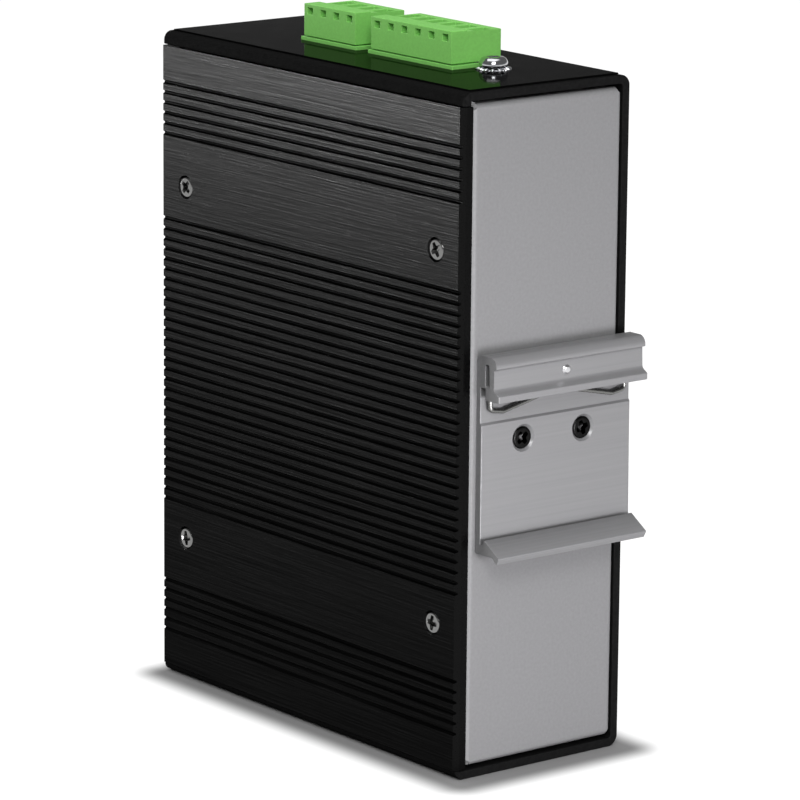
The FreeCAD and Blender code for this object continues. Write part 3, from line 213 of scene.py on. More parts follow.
floor_finish, tree, output = new_material("floor_white")
matt = add(tree, "ShaderNodeBsdfDiffuse", Color=(FLOOR_TONE, FLOOR_TONE, FLOOR_TONE, 1))
glow = add(tree, "ShaderNodeEmission", Color=(1, 1, 1, 1))
place = add(tree, "ShaderNodeTexCoord")
base_low, base_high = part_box("housing_wrap")
middle = add(tree, "ShaderNodeVectorMath", operation="SUBTRACT")
middle_x = (base_low[0] + base_high[0]) / 2 + SHADOW_SHIFT[0]
middle_y = (base_low[1] + base_high[1]) / 2 + SHADOW_SHIFT[1]
half_x = (base_high[0] - base_low[0]) / 2
half_y = (base_high[1] - base_low[1]) / 2
middle.inputs[1].default_value = (middle_x, middle_y, 0)
mirrored = add(tree, "ShaderNodeVectorMath", operation="ABSOLUTE")
outside = add(tree, "ShaderNodeVectorMath", operation="SUBTRACT")
outside.inputs[1].default_value = (half_x, half_y, 1)
beyond = add(tree, "ShaderNodeVectorMath", operation="MAXIMUM")
away = add(tree, "ShaderNodeVectorMath", operation="LENGTH")
# Painted shadow: the glow fades out towards the box's edge.
rise = add(tree, "ShaderNodeMapRange", clamp=True, interpolation_type="SMOOTHSTEP")
rise.inputs["From Min"].default_value = GLOW_STARTS
rise.inputs["From Max"].default_value = GLOW_FULL_AT
rise.inputs["To Min"].default_value = 0.0
rise.inputs["To Max"].default_value = FULL_GLOW
dark = add(tree, "ShaderNodeEmission", Color=(0, 0, 0, 1), Strength=0.0)
lift = add(tree, "ShaderNodeMixShader")
both = add(tree, "ShaderNodeAddShader")
tree.links.new(place.outputs["Object"], middle.inputs[0])
tree.links.new(middle.outputs[0], mirrored.inputs[0])
tree.links.new(mirrored.outputs[0], outside.inputs[0])
tree.links.new(outside.outputs[0], beyond.inputs[0])
tree.links.new(beyond.outputs[0], away.inputs[0])
tree.links.new(away.outputs["Value"], rise.inputs["Value"])
tree.links.new(rise.outputs[0], glow.inputs["Strength"])
tree.links.new(seen_directly(tree), lift.inputs[0])
tree.links.new(dark.outputs[0], lift.inputs[1])
tree.links.new(glow.outputs[0], lift.inputs[2])
tree.links.new(matt.outputs[0], both.inputs[0])
tree.links.new(lift.outputs[0], both.inputs[1])
tree.links.new(both.outputs[0], output.inputs[0])
floor_data.materials.append(floor_finish)
print(f"floor glows from {GLOW_STARTS / MM:.1f} to {GLOW_FULL_AT / MM:.1f} mm around the box")

# %% [markdown]
# ## Lamps
#
# One large lamp could light everything, but black metal shows a lamp only where it
# mirrors it, so several soft square panels stand around the box, as in a studio: one
# above, a small one low that faces the rail clip, one that faces the ports, and a key
# lamp high up on the camera's side.

# %% Lamps
REAR_TINT = (0.98, 0.965, 1.0)


def soft_panel(name, place, target, size, watts):
    """A square area lamp that faces a point."""
    lamp = bpy.data.lights.new(name, "AREA")
    lamp.shape = "SQUARE"
    lamp.size = size
    lamp.energy = watts
    panel = bpy.data.objects.new(name, lamp)
    panel.location = place
    away = Vector(place) - Vector(target)
    panel.rotation_euler = away.to_track_quat("Z", "Y").to_euler()
    bpy.context.scene.collection.objects.link(panel)
    print(f"{name}: {watts} W, {away.length:.2f} m away")
    return panel


soft_panel("top_box", (0.1, 0.05, 1.0), (0, 0, 0.1), size=0.9, watts=3.6)
rear_box = soft_panel(
    "rear_box", (0.02, 0.308, 0.035), (0, 0.06, 0.035), size=0.1, watts=0.82
)
rear_box.data.color = REAR_TINT
soft_panel("port_box", (0.0, -0.75, 0.15), (0, -0.06, 0.08), size=0.3, watts=4.0)
soft_panel("key_box", (0.5, 0.68, 0.62), (0, 0.03, 0.09), size=0.35, watts=5.2)

# %% [markdown]
# ## Linked lamps
#
# Two lamps light a single piece each, through light linking. The streak lamp gives the
# ribbed plate its fall from light to dark, and only in its gloss. Without the link, the
# plugs and screws beside the plate would burn out. The fold lamp draws the light line
# along the rounded folds of the grey panel, and no other piece shades it.

# %% Linked lamps
streak_box = soft_panel(
    "streak_box", (0.366, -0.286, 0.228), (0.0245, 0.0, 0.15), size=0.16, watts=78
)
streak_box.visible_diffuse = False
catches_streaks = bpy.data.collections.new("catches_streaks")
catches_streaks.objects.link(nodes["rib_plate"])
streak_box.light_linking.receiver_collection = catches_streaks
fold_box = soft_panel(
    "fold_box", (0.72, 0.11, 0.09), (0.0225, 0.057, 0.08), size=0.12, watts=5.5
)
catches_fold_light = bpy.data.collections.new("catches_fold_light")
fold_box.light_linking.receiver_collection = catches_fold_light
fold_box.light_linking.blocker_collection = catches_fold_light

# %% [markdown]
# ## Finishes
#
# A finish starts from one Principled shader whose plain numbers are set on its own
# sockets. What changes over the surface, such as brushing, specks and tiny dents,
# comes from noise in the object's coordinates, stretched with a Mapping node. Pictures
# of real surfaces could do the same, but noise needs no file and has no seams.

# %% Finish helper
NOISE_LOW, NOISE_HIGH = 0.3, 0.7
EDGE_SAMPLES = 8


def principled(name, color, roughness, metallic=0.0, **sockets):
    """A material with one Principled shader, and the nodes to hang detail on."""
    material, tree, output = new_material(name)
    shader = add(tree, "ShaderNodeBsdfPrincipled")
    shader.inputs["Base Color"].default_value = (*color, 1)
    shader.inputs["Roughness"].default_value = roughness
    shader.inputs["Metallic"].default_value = metallic
    for key, value in sockets.items():
        shader.inputs[key.replace("_", " ")].default_value = value
    tree.links.new(shader.outputs[0], output.inputs[0])
    return material, tree, shader


def stretched_noise(tree, stretch, detail=3.0, roughness=0.55):
    """Noise in object space: stretch is how many features fit in a metre on each axis."""
    place = add(tree, "ShaderNodeTexCoord")
    mapping = add(tree, "ShaderNodeMapping")
    mapping.inputs["Scale"].default_value = stretch
    noise = add(tree, "ShaderNodeTexNoise", Scale=1.0, Detail=detail, Roughness=roughness)
    tree.links.new(place.outputs["Object"], mapping.inputs["Vector"])
    tree.links.new(mapping.outputs[0], noise.inputs["Vector"])
    return noise.outputs["Fac"]


def spread(tree, value, low, high):
    """The noise value spread between two numbers."""
    remap = add(tree, "ShaderNodeMapRange", clamp=True)
    remap.inputs["From Min"].default_value = NOISE_LOW
    remap.inputs["From Max"].default_value = NOISE_HIGH
    remap.inputs["To Min"].default_value = low
    remap.inputs["To Max"].default_value = high
    tree.links.new(value, remap.inputs["Value"])
    return remap.outputs[0]


def two_tones(tree, value, dark, light):
    """A colour between two tones, by the noise value."""
    ramp = add(tree, "ShaderNodeValToRGB")
    ramp.color_ramp.elements[0].position = NOISE_LOW
    ramp.color_ramp.elements[0].color = (*dark, 1)
    ramp.color_ramp.elements[1].position = NOISE_HIGH
    ramp.color_ramp.elements[1].color = (*light, 1)
    tree.links.new(value, ramp.inputs["Fac"])
    return ramp.outputs["Color"]


def add_bump(tree, shader, value, depth, edge=0.0):
    """Tiny dents of a given depth in metres, and edges that look rounded by a radius."""
    bump = add(tree, "ShaderNodeBump")
    bump.inputs["Distance"].default_value = depth
    tree.links.new(value, bump.inputs["Height"])
    if edge:
        rounded = add(tree, "ShaderNodeBevel", samples=EDGE_SAMPLES)
        rounded.inputs["Radius"].default_value = edge
        tree.links.new(rounded.outputs[0], bump.inputs["Normal"])
    tree.links.new(bump.outputs[0], shader.inputs["Normal"])


print("finish helpers ready")

# %% [markdown]
# ## Black metal
#
# The ribbed plate is aluminium that was brushed along its length and then anodised
# black, so fine streaks run along the ribs. The folded black sheet has a smoother satin
# coat, and the plate on the top is glossy enough to mirror the plugs.
#
# A dark colour under a clear gloss could make these blacks, but that gloss turns grey
# at flat angles. A dark metallic shader with a dimmed edge tint stays black all round.

# %% Black metal helper
LOW_GLOSS = 0.1
GRAIN = (1400, 1400, 1400)
GRAIN_DEPTH = 0.02 * MM
GRAIN_DARK, GRAIN_LIGHT = 0.75, 1.35


def black_metal(
    name, tone, roughness, edge, wander=0.06, stretch=GRAIN, depth=GRAIN_DEPTH,
    soft=0.0, metal=1.0,
):
    """Black over metal: dark at every angle, with a faint grain in its gloss."""
    material, tree, shader = principled(
        name, (tone, tone, tone), roughness, metal, Specular_IOR_Level=LOW_GLOSS
    )
    shader.inputs["Specular Tint"].default_value = (edge, edge, edge, 1)
    grain = stretched_noise(tree, stretch, detail=4.0, roughness=0.65)
    tones = [(tone * share,) * 3 for share in (GRAIN_DARK, GRAIN_LIGHT)]
    gloss = spread(tree, grain, roughness + wander, roughness - wander)
    tree.links.new(two_tones(tree, grain, *tones), shader.inputs["Base Color"])
    tree.links.new(gloss, shader.inputs["Roughness"])
    add_bump(tree, shader, grain, depth, soft)
    return material


print(f"grain of {GRAIN_DEPTH / MM:.2f} mm on black metal")

# %% [markdown]
# ## Painted shade in the grooves
#
# The grooves between the ribs get a painted shade: a near black colour stands for the
# shade that falls in the narrow slots. The chamfer at the rear gets a painted
# highlight: a lighter tone stands for the light it catches. The faces could get
# materials of their own, but two masks do it in one: a mask on the depth below the
# plate's outer face finds the grooves, and one on the way a face points finds the
# chamfer.

# %% Painted groove shade helper
RIB_FACE_X = 24.5 * MM
# The painted shade in the grooves starts this deep below the plate's face.
PAINTED_SHADE_DEPTH = 0.03 * MM
# Painted shade: a near black for the shade that falls in the grooves.
GROOVE_PAINTED_SHADE = 0.0016
# Painted highlight: a lighter tone for the light that the rear chamfer catches.
CHAMFER_PAINTED_HIGHLIGHT = 0.008
POINTS_BACK = 0.5
COLOR_A, COLOR_B, COLOR_RESULT = 6, 7, 2


def paint_groove_shade_and_chamfer_highlight(material, face, depth):
    """Paints shade on what lies deeper than a depth, and a highlight on the chamfer.

    A Mix node has sockets for each kind of data, so its colours go by number.
    """
    tree = material.node_tree
    shader = next(node for node in tree.nodes if node.type == "BSDF_PRINCIPLED")
    brushed = shader.inputs["Base Color"].links[0].from_socket
    place = add(tree, "ShaderNodeTexCoord")
    parts = add(tree, "ShaderNodeSeparateXYZ")
    turned_to = add(tree, "ShaderNodeSeparateXYZ")
    level = add(tree, "ShaderNodeMapRange", clamp=True)
    level.inputs["From Min"].default_value = face - 2 * depth
    level.inputs["From Max"].default_value = face - depth
    backward = add(tree, "ShaderNodeMath", operation="GREATER_THAN")
    backward.inputs[1].default_value = POINTS_BACK
    kept = add(tree, "ShaderNodeMix", data_type="RGBA", blend_type="MIX")
    # Painted shade: the grooves' near black stands in for the shade in them.
    kept.inputs[COLOR_A].default_value = (GROOVE_PAINTED_SHADE, GROOVE_PAINTED_SHADE, GROOVE_PAINTED_SHADE, 1)
    cut = add(tree, "ShaderNodeMix", data_type="RGBA", blend_type="MIX")
    # Painted highlight: the chamfer's lighter tone stands in for the light on it.
    cut.inputs[COLOR_B].default_value = (CHAMFER_PAINTED_HIGHLIGHT, CHAMFER_PAINTED_HIGHLIGHT, CHAMFER_PAINTED_HIGHLIGHT, 1)
    tree.links.new(place.outputs["Object"], parts.inputs[0])
    tree.links.new(place.outputs["Normal"], turned_to.inputs[0])
    tree.links.new(parts.outputs["X"], level.inputs["Value"])
    tree.links.new(turned_to.outputs["Y"], backward.inputs[0])
    tree.links.new(level.outputs[0], kept.inputs["Factor"])
    tree.links.new(brushed, kept.inputs[COLOR_B])
    tree.links.new(backward.outputs[0], cut.inputs["Factor"])
    tree.links.new(kept.outputs[COLOR_RESULT], cut.inputs[COLOR_A])
    tree.links.new(cut.outputs[COLOR_RESULT], shader.inputs["Base Color"])


print(f"grooves start {PAINTED_SHADE_DEPTH / MM:.2f} mm below the plate's face")

# %% Black finishes
BRUSHING = (2200, 32, 2200)
BRUSH_DEPTH = 0.05 * MM
COATED_EDGE, PLATE_EDGE = 0.3 * MM, 0.2 * MM

ribbed = black_metal(
    "black_brushed_ribs", tone=0.0034, roughness=0.3, edge=0.2,
    stretch=BRUSHING, depth=BRUSH_DEPTH,
)
# Painted shade in the grooves and a painted highlight on the rear chamfer.
paint_groove_shade_and_chamfer_highlight(ribbed, RIB_FACE_X, PAINTED_SHADE_DEPTH)
satin = black_metal(
    "black_satin_coat", tone=0.0095, roughness=0.7, edge=0.2, soft=COATED_EDGE, metal=0.7
)
glossy = black_metal(
    "black_glossy_plate", tone=0.0075, roughness=0.08, edge=0.33,
    wander=0.02, stretch=(160, 160, 160), depth=0.0, soft=PLATE_EDGE,
)
black_steel = black_metal("blackened_steel", tone=0.012, roughness=0.3, edge=0.4)
print("black finishes:", ribbed.name, satin.name, glossy.name, black_steel.name)

# %% [markdown]
# ## Bare and plated metal
#
# The rear panel is plated sheet with a fine grey speckle. The rail clip is extruded
# aluminium, so its faint lines run along the extrusion. The screws of the ribbed plate
# are nickel plated, and the ground screw, its washer and the spring's pin are brighter.
#
# All of it could be fully metallic. But the sheet looks matt and evenly grey in the
# photograph, so it isn't metallic at all, and the clip is only partly, for its sheen.

# %% Metal finishes
FINE_BUMP, LINE_BUMP = 0.01 * MM, 0.004 * MM
SHEET_EDGE = 0.3 * MM
SPECKS, LINES, PLATING = (1300, 1300, 1300), (18, 1500, 1500), (900, 900, 900)
DULLER, SHINIER = 0.06, 0.04
SHEET_GLOSS, CLIP_GLOSS = (0.55, 0.42), (0.46, 0.34)
SHEET_DARK, SHEET_LIGHT = (0.15, 0.15, 0.152), (0.169, 0.169, 0.172)
EXTRUDED_DARK, EXTRUDED_LIGHT = (0.19, 0.19, 0.194), (0.207, 0.207, 0.21)

sheet, tree, shader = principled(
    "grey_plated_sheet", (0.151, 0.151, 0.154), roughness=0.6, Specular_IOR_Level=0.3
)
specks = stretched_noise(tree, SPECKS, roughness=0.6)
tones = two_tones(tree, specks, SHEET_DARK, SHEET_LIGHT)
tree.links.new(tones, shader.inputs["Base Color"])
tree.links.new(spread(tree, specks, *SHEET_GLOSS), shader.inputs["Roughness"])
add_bump(tree, shader, specks, FINE_BUMP, SHEET_EDGE)

extruded, tree, shader = principled(
    "bare_extrusion", (0.33, 0.33, 0.335), roughness=0.42, metallic=0.4
)
lines = stretched_noise(tree, LINES, roughness=0.5)
tones = two_tones(tree, lines, EXTRUDED_DARK, EXTRUDED_LIGHT)
tree.links.new(tones, shader.inputs["Base Color"])
tree.links.new(spread(tree, lines, *CLIP_GLOSS), shader.inputs["Roughness"])
add_bump(tree, shader, lines, LINE_BUMP)


def plated(name, color, roughness):
    """A bright metal with a slight unevenness."""
    material, tree, shader = principled(name, color, roughness, metallic=1.0)
    uneven = stretched_noise(tree, PLATING)
    gloss = spread(tree, uneven, roughness + DULLER, roughness - SHINIER)
    tree.links.new(gloss, shader.inputs["Roughness"])
    add_bump(tree, shader, uneven, FINE_BUMP)
    return material


nickel = plated("nickel_plate", (0.2, 0.2, 0.197), 0.14)
chrome = plated("bright_chrome", (0.6, 0.61, 0.63), 0.12)
polished = plated("polished_pin", (0.6, 0.6, 0.61), 0.32)
tin = plated("tin_plate", (0.56, 0.56, 0.55), 0.34)
gold = plated("gold_flash", (0.78, 0.56, 0.22), 0.26)
drawn_wire = plated("drawn_wire", (0.17, 0.17, 0.165), 0.24)
sawn = plated("sawn_aluminium", (0.56, 0.56, 0.56), 0.4)
print("metal finishes:", sheet.name, extruded.name, nickel.name, tin.name)

# %% [markdown]
# ## Plastics, boards and small parts
#
# Moulded plastic has a faint skin texture. A flat colour would be enough for it from
# afar, but looks drawn up close, so noise moves colour and gloss a little. One helper
# makes all of them. The boards, chips and cans inside are hidden in the photograph and
# get plain finishes.

# %% Plastic finishes
SKIN_GRAIN = 1600
SKIN_WANDER = 0.05


def moulded(name, color, roughness, grain=SKIN_GRAIN, variation=0.05, **sockets):
    """Moulded plastic with a fine skin texture."""
    material, tree, shader = principled(name, color, roughness, **sockets)
    skin = stretched_noise(tree, (grain,) * 3, detail=2.0)
    dark = [channel * (1 - variation) for channel in color]
    light = [channel * (1 + variation) for channel in color]
    tree.links.new(two_tones(tree, skin, dark, light), shader.inputs["Base Color"])
    gloss = spread(tree, skin, roughness + SKIN_WANDER, roughness - SKIN_WANDER)
    tree.links.new(gloss, shader.inputs["Roughness"])
    add_bump(tree, shader, skin, FINE_BUMP)
    return material


green = moulded(
    "green_moulding", (0.183, 0.49, 0.107), 0.45, Specular_IOR_Level=LOW_GLOSS
)
green_header = moulded(
    "green_header", (0.168, 0.455, 0.1), 0.45, Specular_IOR_Level=LOW_GLOSS
)
black_plastic = moulded("black_moulding", (0.014, 0.014, 0.014), 0.45)
chip_resin = moulded("chip_resin", (0.02, 0.02, 0.021), 0.55, variation=0.15)
laminate = moulded("board_laminate", (0.012, 0.085, 0.03), 0.3, 700, variation=0.12)
pad_rubber = moulded("thermal_pad", (0.2, 0.22, 0.27), 0.7)
clear_guide = moulded(
    "clear_guide", (0.75, 0.78, 0.78), 0.12, 400, variation=0.02, Transmission_Weight=0.6
)
lamp_body = moulded("lamp_body", (0.72, 0.68, 0.42), 0.25, variation=0.03)
sleeve = moulded("can_sleeve", (0.018, 0.018, 0.035), 0.3)
winding = moulded("winding_tape", (0.5, 0.33, 0.03), 0.42, 500, variation=0.1)
ferrite = moulded("pressed_ferrite", (0.045, 0.045, 0.048), 0.6, variation=0.2)
relay_case = moulded("relay_case", (0.02, 0.024, 0.03), 0.3)
glass_tube = moulded(
    "glass_tube", (0.78, 0.82, 0.82), 0.08, 300, variation=0.02, Transmission_Weight=0.85
)
print("plastic finishes ready")

# %% [markdown]
# ## Dressing the solids
#
# The CAD record names a material slot for each solid. Finishes could be set piece by
# piece, but a table from slot to finish dresses all of them and misses none. Only the
# spring's pin is brighter than its slot.

# %% Finishes on the solids
FINISH_OF_SLOT = {
    "ribbed_plate": ribbed,
    "cover_paint": satin,
    "overlay_gloss": glossy,
    "grey_sheet": sheet,
    "front_paint": satin,
    "clip_metal": extruded,
    "bright_screw": nickel,
    "black_screw": black_steel,
    "spring_steel": drawn_wire,
    "plated_part": tin,
    "terminal_plastic": green,
    "header_plastic": green_header,
    "board_laminate": laminate,
    "black_moulding": black_plastic,
    "chip_plastic": chip_resin,
    "pad_rubber": pad_rubber,
    "spreader_metal": sawn,
    "shield_metal": tin,
    "contact_metal": gold,
    "clear_plastic": clear_guide,
    "lamp_plastic": lamp_body,
    "can_sleeve": sleeve,
    "winding_tape": winding,
    "ferrite": ferrite,
    "relay_case": relay_case,
    "fuse_body": glass_tube,
    "crystal_can": nickel,
}
slot_of_node = {row["node"]: row["material_slot"] for row in frame["record"]["subparts"]}
for name, solid in nodes.items():
    finish = FINISH_OF_SLOT[slot_of_node[name]]
    solid.data.materials.clear()
    solid.data.materials.append(finish)
nodes["spring_pin"].data.materials[0] = polished
print(f"finishes on {len(nodes)} solids")

# %% [markdown]
# ## Broken edges
#
# No sawn, folded or moulded edge is perfectly sharp, and its tiny rounding is what
# catches a line of light. A solid's mesh is loose triangles, so a copy of it is merged
# and its flat areas are dissolved to single faces first. Then the long sharp edges are
# bevelled. The new strips are shaded smooth, and creases stay where they meet the flats.
#
# A Bevel modifier could do it, but its angle limit doesn't look at an edge's length.
# Here both count: short and very steep edges are left, because a bevel would fold over
# itself there.

# %% Edge helper
SHORTEST = 1.2 * MM
GENTLEST, STEEPEST = 50, 115
CREASE = math.radians(38)
FLAT = math.radians(0.5)
MERGED_WITHIN = 0.002 * MM
STRIPS = 3


def broken_edges(node, name, width):
    """A copy of a solid with its long sharp edges rounded, by a width in millimetres."""
    work = bmesh.new()
    work.from_mesh(nodes[node].data)
    bmesh.ops.remove_doubles(work, verts=work.verts, dist=MERGED_WITHIN)
    bmesh.ops.dissolve_limit(
        work, angle_limit=FLAT, use_dissolve_boundaries=False,
        verts=work.verts, edges=work.edges,
    )
    sharp = []
    for edge in work.edges:
        turn = math.degrees(edge.calc_face_angle(0))
        if GENTLEST < turn < STEEPEST and edge.calc_length() > SHORTEST:
            sharp.append(edge)
    strips = set(bmesh.ops.bevel(
        work, geom=sharp, offset=width * MM, offset_type="OFFSET", segments=STRIPS,
        profile=0.5, affect="EDGES", clamp_overlap=False, material=-1,
    )["faces"])
    for edge in work.edges:
        in_strips = sum(face in strips for face in edge.link_faces)
        edge.smooth = in_strips != 1 and edge.calc_face_angle(0) < CREASE
    for face in work.faces:
        face.smooth = True
    open_edges = sum(not edge.is_manifold for edge in work.edges)
    data = bpy.data.meshes.new(name)
    work.to_mesh(data)
    work.free()
    data.materials.append(FINISH_OF_SLOT[slot_of_node[node]])
    piece = bpy.data.objects.new(name, data)
    bpy.context.scene.collection.objects.link(piece)
    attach(piece, "root")
    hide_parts(node)
    print(f"{name}: {len(sharp)} edges, {len(data.polygons)} faces, {open_edges} open")
    return piece


print(f"edges from {GENTLEST} to {STEEPEST} degrees are rounded")

# %% Pieces with broken edges
rounded = {}
for node, name, width in (
    ("housing_wrap", "folded_wrap", 0.2),
    ("rear_panel", "folded_rear_panel", 0.15),
    ("front_panel", "folded_front_panel", 0.15),
    ("top_overlay", "glossy_top_plate", 0.12),
    ("rail_clip", "extruded_rail_clip", 0.18),
    ("power_plug", "long_plug_body", 0.15),
    ("io_plug", "short_plug_body", 0.15),
    ("power_header", "long_plug_base", 0.12),
    ("io_header", "short_plug_base", 0.12),
):
    rounded[node] = broken_edges(node, name, width)
catches_fold_light.objects.link(rounded["rear_panel"])

# %% [markdown]
# ## Screws
#
# A screw is turned and its cross recess is punched, and the mesh is made in the same
# order. A line of radius and height is spun around Z. It leaves the top open, and the
# recess closes it: the flat between rim and cross is filled, and the cross is extruded
# down and drawn in. A Boolean modifier could cut the recess, but its faces are harder
# to keep clean. Each kind of screw is modelled once and copied to its places.

# %% Turned shapes
TURN_STEPS = 56
POLE_WITHIN = 0.001 * MM


def turned(points):
    """A surface spun around Z from radii and heights in millimetres."""
    work = bmesh.new()
    line = [work.verts.new((radius * MM, 0, height * MM)) for radius, height in points]
    edges = [work.edges.new(pair) for pair in zip(line, line[1:])]
    bmesh.ops.spin(
        work, geom=line + edges, cent=(0, 0, 0), axis=(0, 0, 1), dvec=(0, 0, 0),
        angle=math.tau, steps=TURN_STEPS, use_merge=True,
    )
    bmesh.ops.remove_doubles(work, verts=work.verts, dist=POLE_WITHIN)
    return work


print(f"a turned shape has {TURN_STEPS} steps")

# %% Cross recess
PUNCH_STEPS = ((0.8, 0.72), (0.2, 0.2))


def punch_cross(work, level, reach, wide, deep):
    """Closes an open top with a flat that has a cross recess."""
    rim = [edge for edge in work.edges if edge.is_boundary]
    half = wide / 2
    quarter = [(reach, -half), (reach, half), (half * 1.5, half * 1.5)]
    corners = []
    for turn in range(4):
        turning = Matrix.Rotation(turn * math.pi / 2, 2)
        corners += [turning @ Vector(corner) for corner in quarter]
    loop = [work.verts.new((x * MM, y * MM, level * MM)) for x, y in corners]
    cross = [work.edges.new((loop[i], loop[(i + 1) % len(loop)])) for i in range(len(loop))]
    bmesh.ops.triangle_fill(work, edges=rim + cross, use_beauty=True, normal=(0, 0, 1))
    for share, draw_in in PUNCH_STEPS:
        grown = bmesh.ops.extrude_edge_only(work, edges=cross)["geom"]
        lower = [item for item in grown if isinstance(item, bmesh.types.BMVert)]
        bmesh.ops.translate(work, verts=lower, vec=(0, 0, -deep * share * MM))
        bmesh.ops.scale(work, verts=lower, vec=(draw_in, draw_in, 1))
        cross = [
            item for item in grown
            if isinstance(item, bmesh.types.BMEdge) and item.is_boundary
        ]
    bmesh.ops.contextual_create(work, geom=cross)


print(f"a recess is punched in {len(PUNCH_STEPS)} steps")

# %% Copies in place
def copies(work, places):
    """The mesh at each of several places, joined to one."""
    single = bpy.data.meshes.new("single")
    work.to_mesh(single)
    work.free()
    joined = bmesh.new()
    for place in places:
        first = len(joined.verts)
        joined.from_mesh(single)
        joined.verts.ensure_lookup_table()
        bmesh.ops.transform(joined, matrix=place, verts=joined.verts[first:])
    bpy.data.meshes.remove(single)
    return joined


def facing(point, way, turn):
    """The place of a piece whose Z points a way, turned about it by degrees."""
    aim = Vector(way).to_track_quat("Z", "Y").to_matrix().to_4x4()
    return Matrix.Translation(point) @ aim @ Matrix.Rotation(math.radians(turn), 4, "Z")


def finished(name, work, finish, node, crease=CREASE):
    """A finished piece that stands for a solid and rides with the housing."""
    bmesh.ops.recalc_face_normals(work, faces=work.faces)
    data = bpy.data.meshes.new(name)
    work.to_mesh(data)
    work.free()
    data.polygons.foreach_set("use_smooth", [True] * len(data.polygons))
    data.set_sharp_from_angle(angle=crease)
    data.materials.append(finish)
    piece = bpy.data.objects.new(name, data)
    bpy.context.scene.collection.objects.link(piece)
    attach(piece, "root")
    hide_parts(node)
    print(f"{name}: {len(data.polygons)} faces")


print("screw helpers ready")

# %% Sunk screw
SUNK_RECESS = 1.6


def sunk_screw(head=2.5, shank=1.45, length=7.0, reach=1.75, wide=0.9):
    """A countersunk screw with its flat top at zero."""
    work = turned([
        (head - 0.6, 0.0), (head - 0.32, -0.03), (head - 0.1, -0.13), (head, -0.32),
        (shank, -head + shank - 0.16), (shank, -length + 0.3), (shank - 0.3, -length),
        (0.0, -length),
    ])
    punch_cross(work, 0.0, reach, wide, SUNK_RECESS)
    return work


print("sunk screw ready")

# %% [markdown]
# ## Screws in the corners
#
# The ribbed plate, the plain side and the bottom have four sunk screws each, one near
# each corner. The places could be typed in, but they are read from the box around the
# CAD model's screws, so they follow it. Each screw is turned by another angle, as a
# screwdriver leaves them.

# %% Corner screws
HEAD = 2.8 * MM
TURNS = (8, 52, -6, 31)


def corner_screws(name, node, way, finish):
    """Four sunk screws near the corners of their box, with flush heads."""
    low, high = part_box(node)
    axis = [abs(part) for part in way].index(1)
    spans = [(low[i] + HEAD, high[i] - HEAD) for i in range(3)]
    spans[axis] = (high[axis],) if way[axis] > 0 else (low[axis],)
    points = [(x, y, z) for x in spans[0] for y in spans[1] for z in spans[2]]
    places = [facing(point, way, turn) for point, turn in zip(points, TURNS)]
    finished(name, copies(sunk_screw(), places), finish, node)


for name, node, way, finish, slot in (
    ("rib_plate_fasteners", "rib_plate_screws", (1, 0, 0), nickel, "bright_screw"),
    ("wrap_side_fasteners", "wrap_side_screws", (-1, 0, 0), black_steel, "black_screw"),
    ("wrap_bottom_fasteners", "wrap_bottom_screws", (0, 0, -1), black_steel, "black_screw"),
):
    corner_screws(name, node, way, finish)

# %% [markdown]
# ## Clip screws
#
# The two screws of the rail clip are blackened. They sit a little deep in bright
# countersinks, so a thin crescent of bare metal shows around them. They could be
# modelled anew, but the same helper with a wider head matches the other screws.

# %% Clip screws
CLIP_SINK = 0.12 * MM

low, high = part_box("clip_screws")
clip_head = (high[2] - low[2]) / 2
middle_z = (high[2] + low[2]) / 2
places = [
    facing((x, high[1] - CLIP_SINK, middle_z), (0, 1, 0), turn)
    for x, turn in ((low[0] + clip_head, 20), (high[0] - clip_head, 38))
]
clip_screw = sunk_screw(head=2.62, shank=1.45, length=6.8, reach=1.7, wide=0.95)
finished(
    "clip_fasteners", copies(clip_screw, places),
    black_steel, "clip_screws",
)

# %% [markdown]
# ## Ground screw
#
# The ground screw has a low pan head: a flat top that rounds over to upright sides. It
# could be a cylinder with a bevel, but turned and punched like the others it gets the
# same recess, only from another line.

# %% Ground screw
PAN_TOP = 2.05
GROUND_TURN = 25

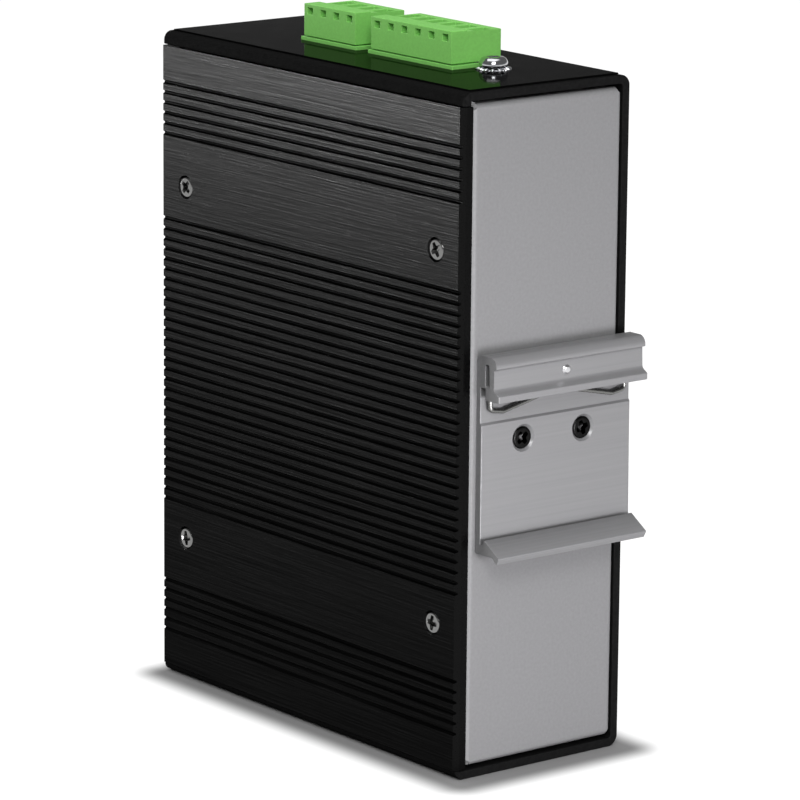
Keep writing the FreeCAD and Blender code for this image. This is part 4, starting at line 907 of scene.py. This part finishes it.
low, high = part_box("ground_screw")
ground_x = (low[0] + high[0]) / 2
ground_y = (low[1] + high[1]) / 2
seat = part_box("ground_washer")[1][2]
reach_down = (seat - low[2]) / MM
work = turned([
    (2.1, PAN_TOP), (2.45, 1.98), (2.85, 1.72), (3.12, 1.36), (3.3, 0.92), (3.4, 0.4),
    (3.38, 0.1), (3.25, 0.0), (1.9, 0.0), (1.9, -reach_down + 0.3), (1.6, -reach_down),
    (0.0, -reach_down),
])
punch_cross(work, PAN_TOP, reach=1.75, wide=0.95, deep=1.3)
upright = facing((ground_x, ground_y, seat), (0, 0, 1), GROUND_TURN)
finished("ground_fastener", copies(work, [upright]), chrome, "ground_screw")

# %% [markdown]
# ## Lock washer
#
# The lock washer under the ground screw is stamped with teeth all round, each bent a
# little, so its edge looks like a wave. One tooth could be modelled and repeated, but
# that leaves a seam at each. So it starts as a whole ring with four outer points for a
# tooth: two of them move in and all move a little up or down. Then the ring gets its
# thickness and is smoothed.

# %% Lock washer
TEETH = 14
WASHER_OUTER, WASHER_INNER = 4.15 * MM, 2.05 * MM
WASHER_SHEET, WASHER_SINK = 0.34 * MM, 0.04 * MM
WASHER_CREASE = math.radians(60)
TOOTH_WAVE = (-0.12, -0.02, 0.14, 0.02)
ROOT_SHARE = 0.85
ROUNDING = 0.6

work = bmesh.new()
outer = bmesh.ops.create_circle(work, segments=TEETH * 4, radius=WASHER_OUTER)["verts"]
bmesh.ops.create_circle(work, segments=TEETH * 4, radius=WASHER_INNER)
for number, vertex in enumerate(outer):
    step = number % 4
    if step in (0, 3):
        bmesh.ops.scale(work, verts=[vertex], vec=(ROOT_SHARE, ROOT_SHARE, 1))
    bmesh.ops.translate(work, verts=[vertex], vec=(0, 0, TOOTH_WAVE[step] * MM))
bmesh.ops.bridge_loops(work, edges=list(work.edges))
bmesh.ops.solidify(work, geom=list(work.faces), thickness=WASHER_SHEET)
bmesh.ops.subdivide_edges(
    work, edges=list(work.edges), cuts=1, smooth=ROUNDING, use_grid_fill=True
)
highest = max(vertex.co.z for vertex in work.verts)
laid = Matrix.Translation((ground_x, ground_y, seat - highest - WASHER_SINK))
finished(
    "ground_lock_washer", copies(work, [laid]),
    chrome, "ground_washer", WASHER_CREASE,
)

# %% [markdown]
# ## Finish
#
# The view transform is Standard, so a colour renders about as it is written. Another
# could soften the highlights, but would turn the white background grey.

# %% Finish
bpy.context.scene.view_settings.view_transform = "Standard"
